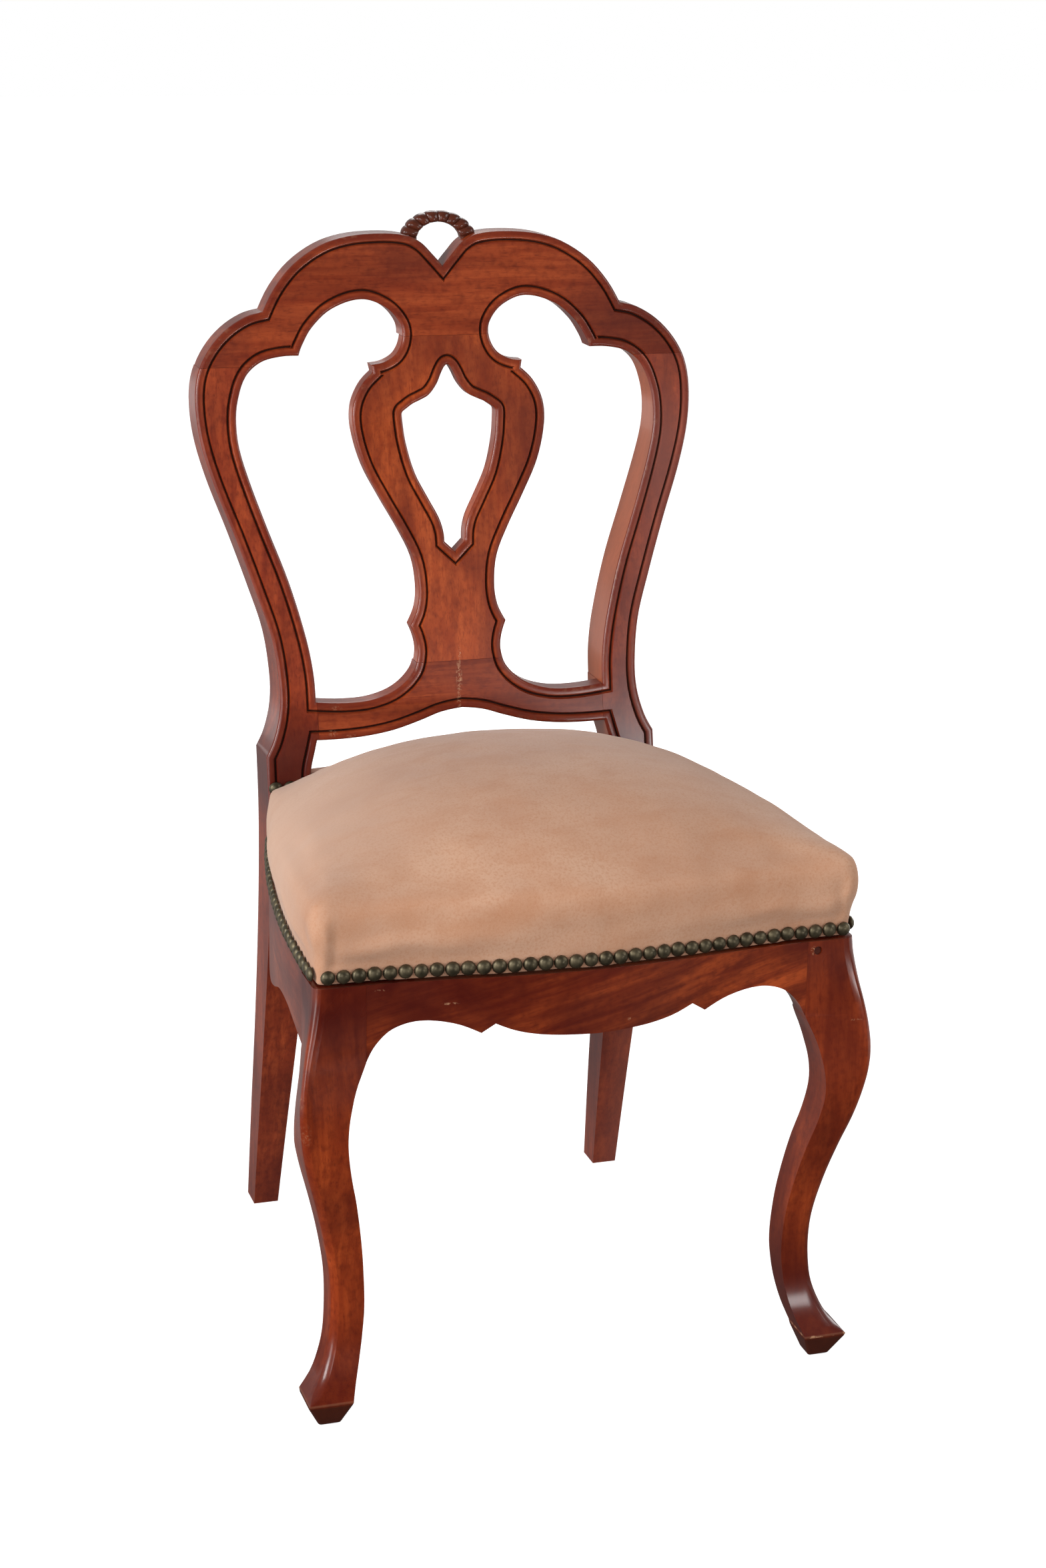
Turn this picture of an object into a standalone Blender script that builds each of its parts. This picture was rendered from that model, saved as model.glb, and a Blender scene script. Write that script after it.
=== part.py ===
"""Side chair with a pierced, moulded back, cabriole front legs and an over-upholstered seat.

Metres, +Z up, feet on z = 0. The chair faces -Y and +X is to the right of someone who looks at its front.
The back leans: its pieces are drawn upright as (x, depth behind the front plane, z) and then sheared.
"""
import math

import bmesh
import bpy
from mathutils import Matrix, Vector
from mathutils.geometry import interpolate_bezier

# Fits
GAP = 0.0003
CUT_MARGIN = 0.010
THROUGH = 0.5

# Seat frame
FRONT_HALF = 0.235
LEG_FRONT_Y = -0.2236
POST = 0.043
SHOW_TOP = 0.392
RAIL_TOP = 0.425
RAIL_THICKNESS = 0.024
FRONT_BOW = 0.015
REBATE = 0.003
REAR_RAIL_FRONT_Y = 0.1484
REAR_RAIL_THICKNESS = 0.026
REAR_RAIL_BOTTOM = 0.355
SEAT_CORNER_RADIUS = 0.009

# Back
STILE_OUTER_X = 0.187
STILE_INNER_X = 0.147
STILE_FRONT_Y = 0.1394
PLANE_Z = 0.440
RAKE_SLOPE = 0.1898
CREST_THICKNESS = 0.024
SPLAT_THICKNESS = 0.015
CROSS_RAIL_THICKNESS = 0.018
CREST_JOINT_Z = 0.821
SPLAT_TOP_JOINT_Z = 0.8435
SPLAT_FOOT_JOINT_Z = 0.5515
CROSS_JOINT_X = 0.1374
CREST_STEP_X = 0.100
MOULDING_FOOT_Z = 0.415
FOOT_INNER_X = 0.1633

# Moulding on the front edges of the back, as distances in from the edge and depths behind the face
EDGE_ROUND = 0.0026
EDGE_DROP = 0.0022
BEAD_WIDTH = 0.0064
GROOVE_WIDTH = 0.0034
GROOVE_DEPTH = 0.0024

# Tenons
TENON_LENGTH = 0.019
TENON_THICKNESS = 0.009
SHORT_TENON = 0.015
RAIL_TENON_Z = (0.370, 0.414)
SPLAT_TENON_HALF = 0.022
CROSS_TENON_Z = (0.4955, 0.5130)
CREST_TENON_X = (0.190, 0.212)
CREST_TENON_DEPTH = 0.007
PEG_RADIUS = 0.0035
PEG_LENGTH = 0.024
PEG_Z = 0.383
PEG_SINK = 0.0012

# Corner blocks and their screws
BLOCK_FOOT = 0.026
BLOCK_BOTTOM = 0.366
BLOCK_HEIGHT = 0.044
BLOCK_OFFSET = 0.020
SCREW_LENGTH = 0.032
SCREW_RADIUS = 0.0020
SCREW_HEAD_RADIUS = 0.0042
SCREW_HEAD_HEIGHT = 0.0028
SCREW_SPACING = 0.022

# Upholstery
WEB_WIDTH = 0.050
WEB_THICKNESS = 0.0016
WEB_LEVEL_GAP = 0.0005
WEB_END_INSET = 0.008
WEB_SPACE = 0.070
CROSS_WEB_SPACE = 0.075
CROSS_WEB_MIDDLE_Y = -0.049
HESSIAN_THICKNESS = 0.0012
HESSIAN_INSET = 0.006
COVER_THICKNESS = 0.0016
COVER_BULGE = 0.010
COVER_EDGE_Z = 0.466
COVER_REAR_DROP = 0.010
CROWN = 0.061
CROWN_POWER = 2.4
PINCH_DEPTH = 0.012
PINCH_RADIUS = 0.024
STILE_CLEARANCE = 0.0008
NAIL_DIAMETER = 0.012
NAIL_PITCH = 0.013
NAIL_HEIGHT = 0.0042
NAIL_NECK = 0.0013
NAIL_RISE = 0.0085
STILE_NAIL_Z = 0.450

# Crest loop
LOOP_CENTRE_Z = 0.926
LOOP_OUTER = (0.0365, 0.0265)
LOOP_INNER = (0.0205, 0.0160)
LOOP_FRONT_DEPTH = 0.008
LOOP_DEPTH = 0.013
LOOP_FLUTES = 10
LOOP_ENDS = math.radians(8)
FLUTE_DEPTH = 0.0022
FLUTE_SHARE = 0.10

# Sampling of the curves
MAX_TURN = math.radians(13)
MAX_CHORD = 0.024

# Outlines, right half, as (x, z, smooth or corner)
S, C = "smooth", "corner"
CREST_EDGE = [
    (0.0, 0.905, C), (0.009, 0.9150, S), (0.020, 0.9260, S), (0.034, 0.9325, S), (0.060, 0.9346, S),
    (0.090, 0.9322, S), (0.115, 0.9245, S), (0.140, 0.9085, S), (0.158, 0.8885, S), (0.1695, 0.8685, C),
    (0.186, 0.8642, S), (0.205, 0.8528, S), (0.221, 0.8360, S), (0.2315, 0.8160, S), (0.2352, 0.7920, S),
    (0.2325, 0.7580, S), (0.2225, 0.7200, S), (0.2046, 0.6700, S), (0.1880, 0.6200, S), (0.1762, 0.5800, S),
    (0.1716, 0.5400, S), (0.1726, 0.5150, S), (0.1790, 0.4910, S), (STILE_OUTER_X, 0.4755, C),
]
UNDER_EDGE = [
    (STILE_INNER_X, PLANE_Z, C), (0.1457, 0.4610, S), (0.1410, 0.4790, S), (0.1388, 0.4872, C),
    (0.115, 0.4869, S), (0.090, 0.4882, S), (0.065, 0.4919, S), (0.040, 0.4988, S), (0.020, 0.5052, S),
    (0.0, 0.5080, S),
]
OPENING = [
    (0.1384, 0.8290, C), (0.1350, 0.8375, S), (0.1250, 0.8532, S), (0.1060, 0.8690, S), (0.0780, 0.8768, S),
    (0.0560, 0.8694, S), (0.0430, 0.8552, S), (0.0412, 0.8420, S), (0.0475, 0.8285, S), (0.0590, 0.8215, S),
    (0.0720, 0.8195, C), (0.0705, 0.8125, C), (0.0820, 0.8010, S), (0.0905, 0.7830, S), (0.0912, 0.7620, S),
    (0.0830, 0.7300, S), (0.0680, 0.7000, S), (0.0514, 0.6700, S), (0.0400, 0.6450, S), (0.0365, 0.6200, S),
    (0.0385, 0.6010, S), (0.0460, 0.5850, C), (0.0412, 0.5720, S), (0.0400, 0.5590, S), (0.0452, 0.5432, S),
    (0.0620, 0.5284, S), (0.0850, 0.5208, S), (0.1100, 0.5195, S), (0.1381, 0.5218, C), (0.1390, 0.5480, S),
    (0.1442, 0.5800, S), (0.1576, 0.6300, S), (0.1754, 0.6800, S), (0.1889, 0.7200, S), (0.1969, 0.7500, S),
    (0.1985, 0.7720, S), (0.1962, 0.7910, S), (0.1880, 0.8120, S), (0.1740, 0.8240, S), (0.1560, 0.8285, S),
]
CUTOUT = [
    (0.0, 0.8175, S), (0.0050, 0.8100, S), (0.0102, 0.8000, S), (0.0195, 0.7905, S), (0.0320, 0.7862, S),
    (0.0402, 0.7810, S), (0.0440, 0.7715, S), (0.0424, 0.7500, S), (0.0350, 0.7220, S), (0.0235, 0.6990, S),
    (0.0140, 0.6810, S), (0.0104, 0.6690, S), (0.0096, 0.6590, C), (0.0, 0.6500, C),
]

# Lower edges of the rails: share of the run from middle to leg, or from leg to stile, and height
FRONT_RAIL_EDGE = [
    (0.0, 0.3360, S), (0.208, 0.3385, S), (0.344, 0.3435, S), (0.446, 0.3515, C), (0.507, 0.3440, C),
    (0.625, 0.3538, S), (0.771, 0.3578, S), (0.885, 0.3545, S), (0.958, 0.3425, S), (1.0, 0.3270, C),
]
SIDE_RAIL_EDGE = [
    (0.0, 0.3270, C), (0.12, 0.3345, S), (0.23, 0.3380, S), (0.37, 0.3330, S), (0.52, 0.3170, S),
    (0.68, 0.3030, S), (0.85, 0.2980, S), (1.0, 0.2990, C),
]

# Rear stile seen from the side, below the back's straight plane: distance behind its front face, and height
STILE_FRONT = [
    (0.0790, 0.0, C), (0.0540, 0.1000, S), (0.0280, 0.2000, S), (0.0075, 0.2900, S), (0.0008, 0.3500, S),
    (0.0, PLANE_Z, C),
]
STILE_BACK = [
    (0.1070, 0.0, C), (0.0880, 0.1000, S), (0.0670, 0.2000, S), (0.0505, 0.3000, S), (0.0435, 0.3800, S),
    (0.0450, 0.4400, S), (0.0685, 0.5800, S), (0.0885, 0.7000, S), (0.0970, 0.7900, S),
    (0.0982, CREST_JOINT_Z, C),
]

# Cabriole leg: height, and distance outside the post's outer face of the outer and the inner line
LEG_OUTER = [
    (0.0245, 0.0050), (0.0360, -0.0040), (0.0480, -0.0098), (0.0640, -0.0152), (0.0800, -0.0176),
    (0.1050, -0.0186), (0.1320, -0.0168), (0.1670, -0.0103), (0.2000, -0.0020), (0.2300, 0.0065),
    (0.2550, 0.0120), (0.2750, 0.0152), (0.2950, 0.0162), (0.3150, 0.0144), (0.3350, 0.0108),
    (0.3560, 0.0057), (0.3780, 0.0014), (SHOW_TOP, 0.0),
]
LEG_INNER = [
    (0.0245, -0.0330), (0.0400, -0.0375), (0.0570, -0.0414), (0.0740, -0.0445), (0.1000, -0.0467),
    (0.1360, -0.0450), (0.1660, -0.0414), (0.2000, -0.0356), (0.2300, -0.0290), (0.2550, -0.0253),
    (0.2750, -0.0252), (0.2950, -0.0278), (0.3120, -0.0338), (0.3270, -POST), (0.3274, -POST),
    (SHOW_TOP, -POST),
]
TOE_EDGE = 0.0030
PAD_OUTER = 0.0060
PAD_INNER = 0.0210
ARRIS_RADIUS = 0.0045
LEVEL_STEP = 0.0030

COLOURS = {
    "mahogany": ((0.200, 0.045, 0.016, 1.0), 0.34, 0.0),
    "mahogany_dark": ((0.095, 0.022, 0.011, 1.0), 0.42, 0.0),
    "beech": ((0.480, 0.310, 0.170, 1.0), 0.60, 0.0),
    "velour": ((0.540, 0.330, 0.215, 1.0), 0.92, 0.0),
    "bronze": ((0.105, 0.092, 0.062, 1.0), 0.38, 1.0),
    "jute": ((0.400, 0.290, 0.170, 1.0), 0.95, 0.0),
    "stuffing": ((0.620, 0.550, 0.430, 1.0), 0.95, 0.0),
    "steel": ((0.420, 0.410, 0.390, 1.0), 0.40, 1.0),
}


# Scene set-up

def start():
    """Empty the scene and make the collections, the materials and the root empty."""
    for old in list(bpy.data.objects):
        bpy.data.objects.remove(old, do_unlink=True)
    for name in ("sewing_chair", "cutters"):
        made = bpy.data.collections.new(name)
        bpy.context.scene.collection.children.link(made)
    for name, (colour, roughness, metallic) in COLOURS.items():
        made = bpy.data.materials.new(name)
        made.use_nodes = True
        shader = made.node_tree.nodes["Principled BSDF"]
        shader.inputs["Base Color"].default_value = colour
        shader.inputs["Roughness"].default_value = roughness
        shader.inputs["Metallic"].default_value = metallic
    root = bpy.data.objects.new("chair_root", None)
    bpy.data.collections["sewing_chair"].objects.link(root)
    return root


def add(name, mesh, material=None):
    """Link a mesh as a part, or as a hidden cutter when it has no material."""
    made = bpy.data.objects.new(name, mesh)
    if material is None:
        bpy.data.collections["cutters"].objects.link(made)
        made.hide_render = True
        made.display_type = "WIRE"
        return made
    bpy.data.collections["sewing_chair"].objects.link(made)
    made.data.materials.append(bpy.data.materials[material])
    made.parent = bpy.data.objects["chair_root"]
    return made


# Curves

def turn_between(first, second):
    """Angle between two directions, zero where one has no length."""
    if first.length < 1e-9 or second.length < 1e-9:
        return 0.0
    return first.angle(second)


def sample(points, closed=False):
    """Points along a smooth curve through (u, v, kind) points, with corners where kind says so."""
    knots = [Vector((u, v, 0.0)) for u, v, _ in points]
    count = len(knots)
    last = count if closed else count - 1
    tangents = []
    for i, (_, _, kind) in enumerate(points):
        open_end = not closed and i in (0, count - 1)
        if kind == C or open_end:
            tangents.append(None)
        else:
            tangents.append((knots[(i + 1) % count] - knots[i - 1]).normalized())
    curve = []
    for i in range(last):
        start_knot, end_knot = knots[i], knots[(i + 1) % count]
        reach = (end_knot - start_knot).length / 3
        leave, arrive = tangents[i], tangents[(i + 1) % count]
        handle_a = start_knot + leave * reach if leave else None
        handle_b = end_knot - arrive * reach if arrive else None
        if handle_a is None:
            handle_a = start_knot.lerp(handle_b or end_knot, 0.5)
        if handle_b is None:
            handle_b = end_knot.lerp(handle_a, 0.5)
        turning = turn_between(handle_a - start_knot, handle_b - handle_a)
        turning += turn_between(handle_b - handle_a, end_knot - handle_b)
        steps = max(1, math.ceil(turning / MAX_TURN), math.ceil(3 * reach / MAX_CHORD))
        piece = interpolate_bezier(start_knot, handle_a, handle_b, end_knot, steps + 1)
        curve += [(p.x, p.y) for p in piece[:-1]]
    if not closed:
        curve.append(tuple(knots[-1][:2]))
    return curve


def mirrored_loop(right_half):
    """Closed counter-clockwise loop from a right half that runs from the top centre to the bottom centre."""
    left_half = [(-u, v) for u, v in right_half if u > 1e-9]
    return right_half[::-1] + left_half


def offset_loop(loop, distance):
    """Mitred copy of a closed loop, moved to its left by distance."""
    moved = []
    for i, point in enumerate(loop):
        here = Vector(point)
        into = (here - Vector(loop[i - 1])).normalized()
        out = (Vector(loop[(i + 1) % len(loop)]) - here).normalized()
        side = Vector((-into.y - out.y, into.x + out.x))
        side /= 1 + into.dot(out)
        moved.append(tuple(here + side * distance))
    return moved


def value_at(rows, height):
    """Smooth value at a height from (height, value) rows."""
    height = min(max(height, rows[0][0]), rows[-1][0])
    i = next(k for k in range(len(rows) - 1) if height <= rows[k + 1][0])
    slopes = []
    for k in (i, i + 1):
        before, after = rows[max(k - 1, 0)], rows[min(k + 1, len(rows) - 1)]
        slopes.append((after[1] - before[1]) / (after[0] - before[0]))
    (z0, v0), (z1, v1) = rows[i], rows[i + 1]
    t = (height - z0) / (z1 - z0)
    run = z1 - z0
    ease = t * t * (3 - 2 * t)
    return v0 + (v1 - v0) * ease + run * t * (1 - t) * ((1 - t) * slopes[0] - t * slopes[1])


# Solids

FACING = {
    "front": Matrix(((1, 0, 0, 0), (0, 0, -1, 0), (0, 1, 0, 0), (0, 0, 0, 1))),
    "side": Matrix(((0, 0, 1, 0), (1, 0, 0, 0), (0, 1, 0, 0), (0, 0, 0, 1))),
    "plan": Matrix.Identity(4),
}
LEAN = Matrix.Identity(4)
LEAN[1][2] = RAKE_SLOPE
LEAN[1][3] = STILE_FRONT_Y - RAKE_SLOPE * PLANE_Z


def prism(name, loops, facing, low, high, material=None):
    """Solid of flat loops, the later ones holes, between two places along the axis that it faces."""
    curve = bpy.data.curves.new(name, "CURVE")
    curve.dimensions = "2D"
    curve.fill_mode = "BOTH"
    curve.extrude = (high - low) / 2
    for loop in loops:
        spline = curve.splines.new("POLY")
        spline.points.add(len(loop) - 1)
        for place, (u, v) in zip(spline.points, loop):
            place.co = (u, v, 0.0, 1.0)
        spline.use_cyclic_u = True
    drawn = bpy.data.objects.new(name, curve)
    bpy.context.scene.collection.objects.link(drawn)
    graph = bpy.context.evaluated_depsgraph_get()
    mesh = bpy.data.meshes.new_from_object(drawn.evaluated_get(graph))
    bpy.data.objects.remove(drawn, do_unlink=True)
    middle = (low + high) / 2
    shift = -middle if facing == "front" else middle
    mesh.transform(FACING[facing] @ Matrix.Translation((0, 0, shift)))
    tidy_mesh(mesh)
    return add(name, mesh, material)


def tidy_mesh(mesh, distance=1e-7):
    """Weld a mesh and turn its faces outwards."""
    form = bmesh.new()
    form.from_mesh(mesh)
    bmesh.ops.remove_doubles(form, verts=form.verts, dist=distance)
    bmesh.ops.dissolve_degenerate(form, dist=distance, edges=form.edges)
    bmesh.ops.recalc_face_normals(form, faces=form.faces)
    form.to_mesh(mesh)
    form.free()


def loft(name, sections, material=None, ring=False, peak=None):
    """Solid through closed sections of equal counts; a ring joins its ends, a peak closes the last one."""
    form = bmesh.new()
    rows = [[form.verts.new(point) for point in section] for section in sections]
    pairs = list(zip(rows, rows[1:]))
    if ring:
        pairs.append((rows[-1], rows[0]))
    else:
        form.faces.new(rows[0])
    if peak:
        top = form.verts.new(peak)
        for a, b in zip(rows[-1], rows[-1][1:] + rows[-1][:1]):
            form.faces.new((a, b, top))
    elif not ring:
        form.faces.new(rows[-1])
    for low, high in pairs:
        for i in range(len(low)):
            j = (i + 1) % len(low)
            corners = (low[i], low[j], high[j], high[i])
            first = 0 if i < len(low) / 2 else 1
            form.faces.new([corners[(first + k) % 4] for k in (0, 1, 2)])
            form.faces.new([corners[(first + k) % 4] for k in (0, 2, 3)])
    bmesh.ops.recalc_face_normals(form, faces=form.faces)
    mesh = bpy.data.meshes.new(name)
    form.to_mesh(mesh)
    form.free()
    return add(name, mesh, material)


def block(name, x_range, y_range, z_range, material=None, leaning=False):
    """Box between three pairs of limits."""
    form = bmesh.new()
    bmesh.ops.create_cube(form, size=1.0)
    size = [high - low for low, high in (x_range, y_range, z_range)]
    centre = [(high + low) / 2 for low, high in (x_range, y_range, z_range)]
    bmesh.ops.scale(form, vec=size, verts=form.verts)
    bmesh.ops.translate(form, vec=centre, verts=form.verts)
    mesh = bpy.data.meshes.new(name)
    form.to_mesh(mesh)
    form.free()
    if leaning:
        mesh.transform(LEAN)
    return add(name, mesh, material)


def cylinder(name, radius, start_point, end_point, sides=12, material=None):
    """Round bar between two points."""
    start_point, end_point = Vector(start_point), Vector(end_point)
    run = end_point - start_point
    form = bmesh.new()
    bmesh.ops.create_cone(
        form, cap_ends=True, segments=sides, radius1=radius, radius2=radius, depth=run.length,
    )
    mesh = bpy.data.meshes.new(name)
    form.to_mesh(mesh)
    form.free()
    turn = run.to_track_quat("Z", "Y").to_matrix().to_4x4()
    mesh.transform(Matrix.Translation((start_point + end_point) / 2) @ turn)
    return add(name, mesh, material)


def combine(target, other, operation, keep=False):
    """Boolean of one solid with another, which is removed unless it is kept."""
    step = target.modifiers.new("cut", "BOOLEAN")
    step.operation = operation
    step.object = other
    step.solver = "EXACT"
    graph = bpy.context.evaluated_depsgraph_get()
    mesh = bpy.data.meshes.new_from_object(target.evaluated_get(graph))
    target.modifiers.clear()
    tidy_mesh(mesh)
    old = target.data
    materials = [slot for slot in old.materials]
    target.data = mesh
    mesh.materials.clear()
    for slot in materials:
        mesh.materials.append(slot)
    bpy.data.meshes.remove(old)
    if not keep:
        bpy.data.objects.remove(other, do_unlink=True)


def joined(owner, host, x_range, y_range, z_range, leaning=False):
    """Tenon on one piece and its mortise in another."""
    combine(owner, block("tenon", x_range, y_range, z_range, leaning=leaning), "UNION")
    grown = [(low - GAP, high + GAP) for low, high in (x_range, y_range, z_range)]
    combine(host, block("mortise", *grown, leaning=leaning), "DIFFERENCE")


def other_side(source, name):
    """Copy of a piece, mirrored across the chair's middle."""
    mesh = source.data.copy()
    mesh.transform(Matrix.Diagonal((-1, 1, 1, 1)))
    tidy_mesh(mesh)
    made = bpy.data.objects.new(name, mesh)
    bpy.data.collections["sewing_chair"].objects.link(made)
    made.parent = bpy.data.objects["chair_root"]
    return made


# Seat plan

JOINT_X = FRONT_HALF - POST
LEG_BACK_Y = LEG_FRONT_Y + POST
REAR_RAIL_BACK_Y = REAR_RAIL_FRONT_Y + REAR_RAIL_THICKNESS
COVER_BACK_Y = REAR_RAIL_BACK_Y + REBATE
SEAT_MIDDLE_Y = (LEG_FRONT_Y + STILE_FRONT_Y) / 2


def front_y(x):
    """Bowed front face of the seat frame."""
    share = min(1.0, abs(x) / JOINT_X)
    return LEG_FRONT_Y - FRONT_BOW * (1 - share * share) ** 2


def side_x(y):
    """Curved side face of the seat frame."""
    share = (y - LEG_FRONT_Y) / (STILE_FRONT_Y - LEG_FRONT_Y)
    return FRONT_HALF - (FRONT_HALF - STILE_OUTER_X) * share * share


def spread(low, high, count):
    """Evenly spaced values from low to high."""
    return [low + (high - low) * i / (count - 1) for i in range(count)]


def seat_loop():
    """Counter-clockwise plan of the seat, with rounded front corners."""
    radius = SEAT_CORNER_RADIUS
    front = [(x, front_y(x)) for x in spread(0.0, FRONT_HALF - radius, 8)]
    turn = []
    for angle in (-60, -30):
        angle = math.radians(angle)
        centre = (FRONT_HALF - radius, LEG_FRONT_Y + radius)
        turn.append((centre[0] + radius * math.cos(angle), centre[1] + radius * math.sin(angle)))
    side = [(side_x(y), y) for y in spread(LEG_FRONT_Y + radius, COVER_BACK_Y, 9)]
    rear = [(x, COVER_BACK_Y) for x in spread(side[-1][0], 0.0, 5)[1:]]
    right = front + turn + side + rear
    left = [(-x, y) for x, y in right[::-1] if x > 1e-9]
    return right + left


# Front legs

def rounded_square(low, high, radius):
    """Diagonal section of a leg, as (outwards, forwards) points, with its outer corner rounded most."""
    inner = radius / 3
    points = [(low + inner, low), (high - inner, low), (high, low + inner), (high, high - radius)]
    centre = high - radius
    for angle in (30, 60):
        angle = math.radians(angle)
        points.append((centre + radius * math.cos(angle), centre + radius * math.sin(angle)))
    points += [(centre, high), (low + inner, high), (low, high - inner), (low, low + inner)]
    return points


def front_leg(name):
    """Right cabriole leg, cut alike on its front and its side, with its post and undercut toe."""
    toe_top = LEG_OUTER[0][0]
    toe_out, toe_in = LEG_OUTER[0][1], LEG_INNER[0][1]
    rows = [(0.0, -PAD_OUTER, -PAD_INNER), (toe_top - TOE_EDGE, toe_out, toe_in)]
    for height in sorted({row[0] for row in LEG_OUTER + LEG_INNER} | {RAIL_TOP}):
        if height - rows[-1][0] >= LEVEL_STEP:
            rows.append((height, value_at(LEG_OUTER, height), value_at(LEG_INNER, height)))
    sections = []
    for height, outer, inner in rows:
        radius = min(ARRIS_RADIUS, (outer - inner) / 3)
        section = rounded_square(inner, outer, radius)
        sections.append([(FRONT_HALF + out, LEG_FRONT_Y - ahead, height) for out, ahead in section])
    return loft(name, sections, "mahogany")


# Seat rails

def front_rail():
    """Bowed front rail with its scalloped lower edge."""
    limit = JOINT_X - GAP
    right = sample([(share * limit, z, kind) for share, z, kind in FRONT_RAIL_EDGE])
    right.append((limit, RAIL_TOP))
    left = [(-x, z) for x, z in right[::-1]]
    rail = prism("front_seat_rail", [right + left[:-1]], "front", LEG_FRONT_Y - 2 * FRONT_BOW - CUT_MARGIN,
                 LEG_FRONT_Y + RAIL_THICKNESS + CUT_MARGIN, "mahogany")
    run = spread(-JOINT_X, JOINT_X, 25)
    band = [(x, front_y(x)) for x in run] + [(x, front_y(x) + RAIL_THICKNESS) for x in run[::-1]]
    combine(rail, prism("band", [band], "plan", SHOW_TOP / 2, RAIL_TOP + CUT_MARGIN), "INTERSECT")
    return rail


def side_rail(name, stile_front):
    """Right side rail, bowed in plan, from the front leg to the stile's front face."""
    start_y, end_y = LEG_BACK_Y + GAP, STILE_FRONT_Y - GAP
    run = end_y - start_y
    lower = [(start_y + share * run, z) for share, z in sample(SIDE_RAIL_EDGE)]
    rear = [(STILE_FRONT_Y + value_at(stile_front, z) - GAP, z) for z in spread(lower[-1][1], RAIL_TOP, 6)]
    outline = lower[:-1] + rear + [(start_y, RAIL_TOP)]
    rail = prism(name, [outline], "side", 0.0, FRONT_HALF + CUT_MARGIN, "mahogany")
    places = spread(start_y - CUT_MARGIN, end_y + 2 * CUT_MARGIN, 17)
    band = [(side_x(y), y) for y in places] + [(side_x(y) - RAIL_THICKNESS, y) for y in places[::-1]]
    combine(rail, prism("band", [band], "plan", SHOW_TOP / 2, RAIL_TOP + CUT_MARGIN), "INTERSECT")
    return rail


# Back

def back_loops():
    """Outer loop with the rear legs, moulding loop without them, and the three openings."""
    crest = sample(CREST_EDGE)
    under = sample(UNDER_EDGE)
    legs = [(STILE_OUTER_X, 0.0), (FOOT_INNER_X, 0.0), (STILE_INNER_X, SHOW_TOP - POST)]
    cut_off = [(STILE_OUTER_X, MOULDING_FOOT_Z), (STILE_INNER_X, MOULDING_FOOT_Z)]
    outer = mirrored_loop(crest + legs + under)
    moulded = mirrored_loop(crest + cut_off + under)
    opening = sample(OPENING, closed=True)
    mirror_opening = [(-x, z) for x, z in opening[::-1]]
    cutout = mirrored_loop(sample(CUTOUT))
    return outer, moulded, [opening, mirror_opening, cutout]


def moulding(moulded, openings):
    """Cutter that leaves a rounded bead and a V groove along every front edge of the back."""
    section = [
        (-EDGE_ROUND, -EDGE_ROUND), (-EDGE_ROUND, EDGE_DROP * 2), (EDGE_ROUND, EDGE_DROP * 0.15),
        (BEAD_WIDTH, EDGE_DROP * 0.12), (BEAD_WIDTH + GROOVE_WIDTH / 2, GROOVE_DEPTH),
        (BEAD_WIDTH + GROOVE_WIDTH, -EDGE_DROP * 0.1), (BEAD_WIDTH + GROOVE_WIDTH, -EDGE_ROUND),
    ]
    cutters = []
    for loop in [moulded] + [hole[::-1] for hole in openings]:
        rings = []
        for inset, depth in section:
            rings.append([(x, depth, z) for x, z in offset_loop(loop, inset)])
        made = loft("moulding_cutter", rings, ring=True)
        made.data.transform(LEAN)
        cutters.append(made)
    return cutters


def back_member(name, outer, openings, territory, thickness):
    """Leaning piece of the back: the part of its outline that lies in a territory."""
    piece = prism(name, [outer] + openings, "front", -THROUGH, THROUGH, "mahogany")
    slab = prism("territory", [territory], "front", 0.0, thickness)
    slab.data.transform(LEAN)
    combine(piece, slab, "INTERSECT")
    return piece


def rear_stile(name, outer, openings):
    """Right rear leg and back post in one piece, cut from its front view and its side view."""
    piece = prism(name, [outer] + openings, "front", -THROUGH, THROUGH, "mahogany")
    lean_top = STILE_FRONT_Y + RAKE_SLOPE * (CREST_JOINT_Z - PLANE_Z)
    front = [(STILE_FRONT_Y + y, z) for y, z in sample(STILE_FRONT)]
    back = [(STILE_FRONT_Y + y, z) for y, z in sample(STILE_BACK)]
    profile = front + [(lean_top, CREST_JOINT_Z - GAP)] + [(back[-1][0], CREST_JOINT_Z - GAP)] + back[-2::-1]
    combine(piece, prism("profile", [profile], "side", CROSS_JOINT_X + GAP, 2 * FRONT_HALF), "INTERSECT")
    return piece


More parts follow.
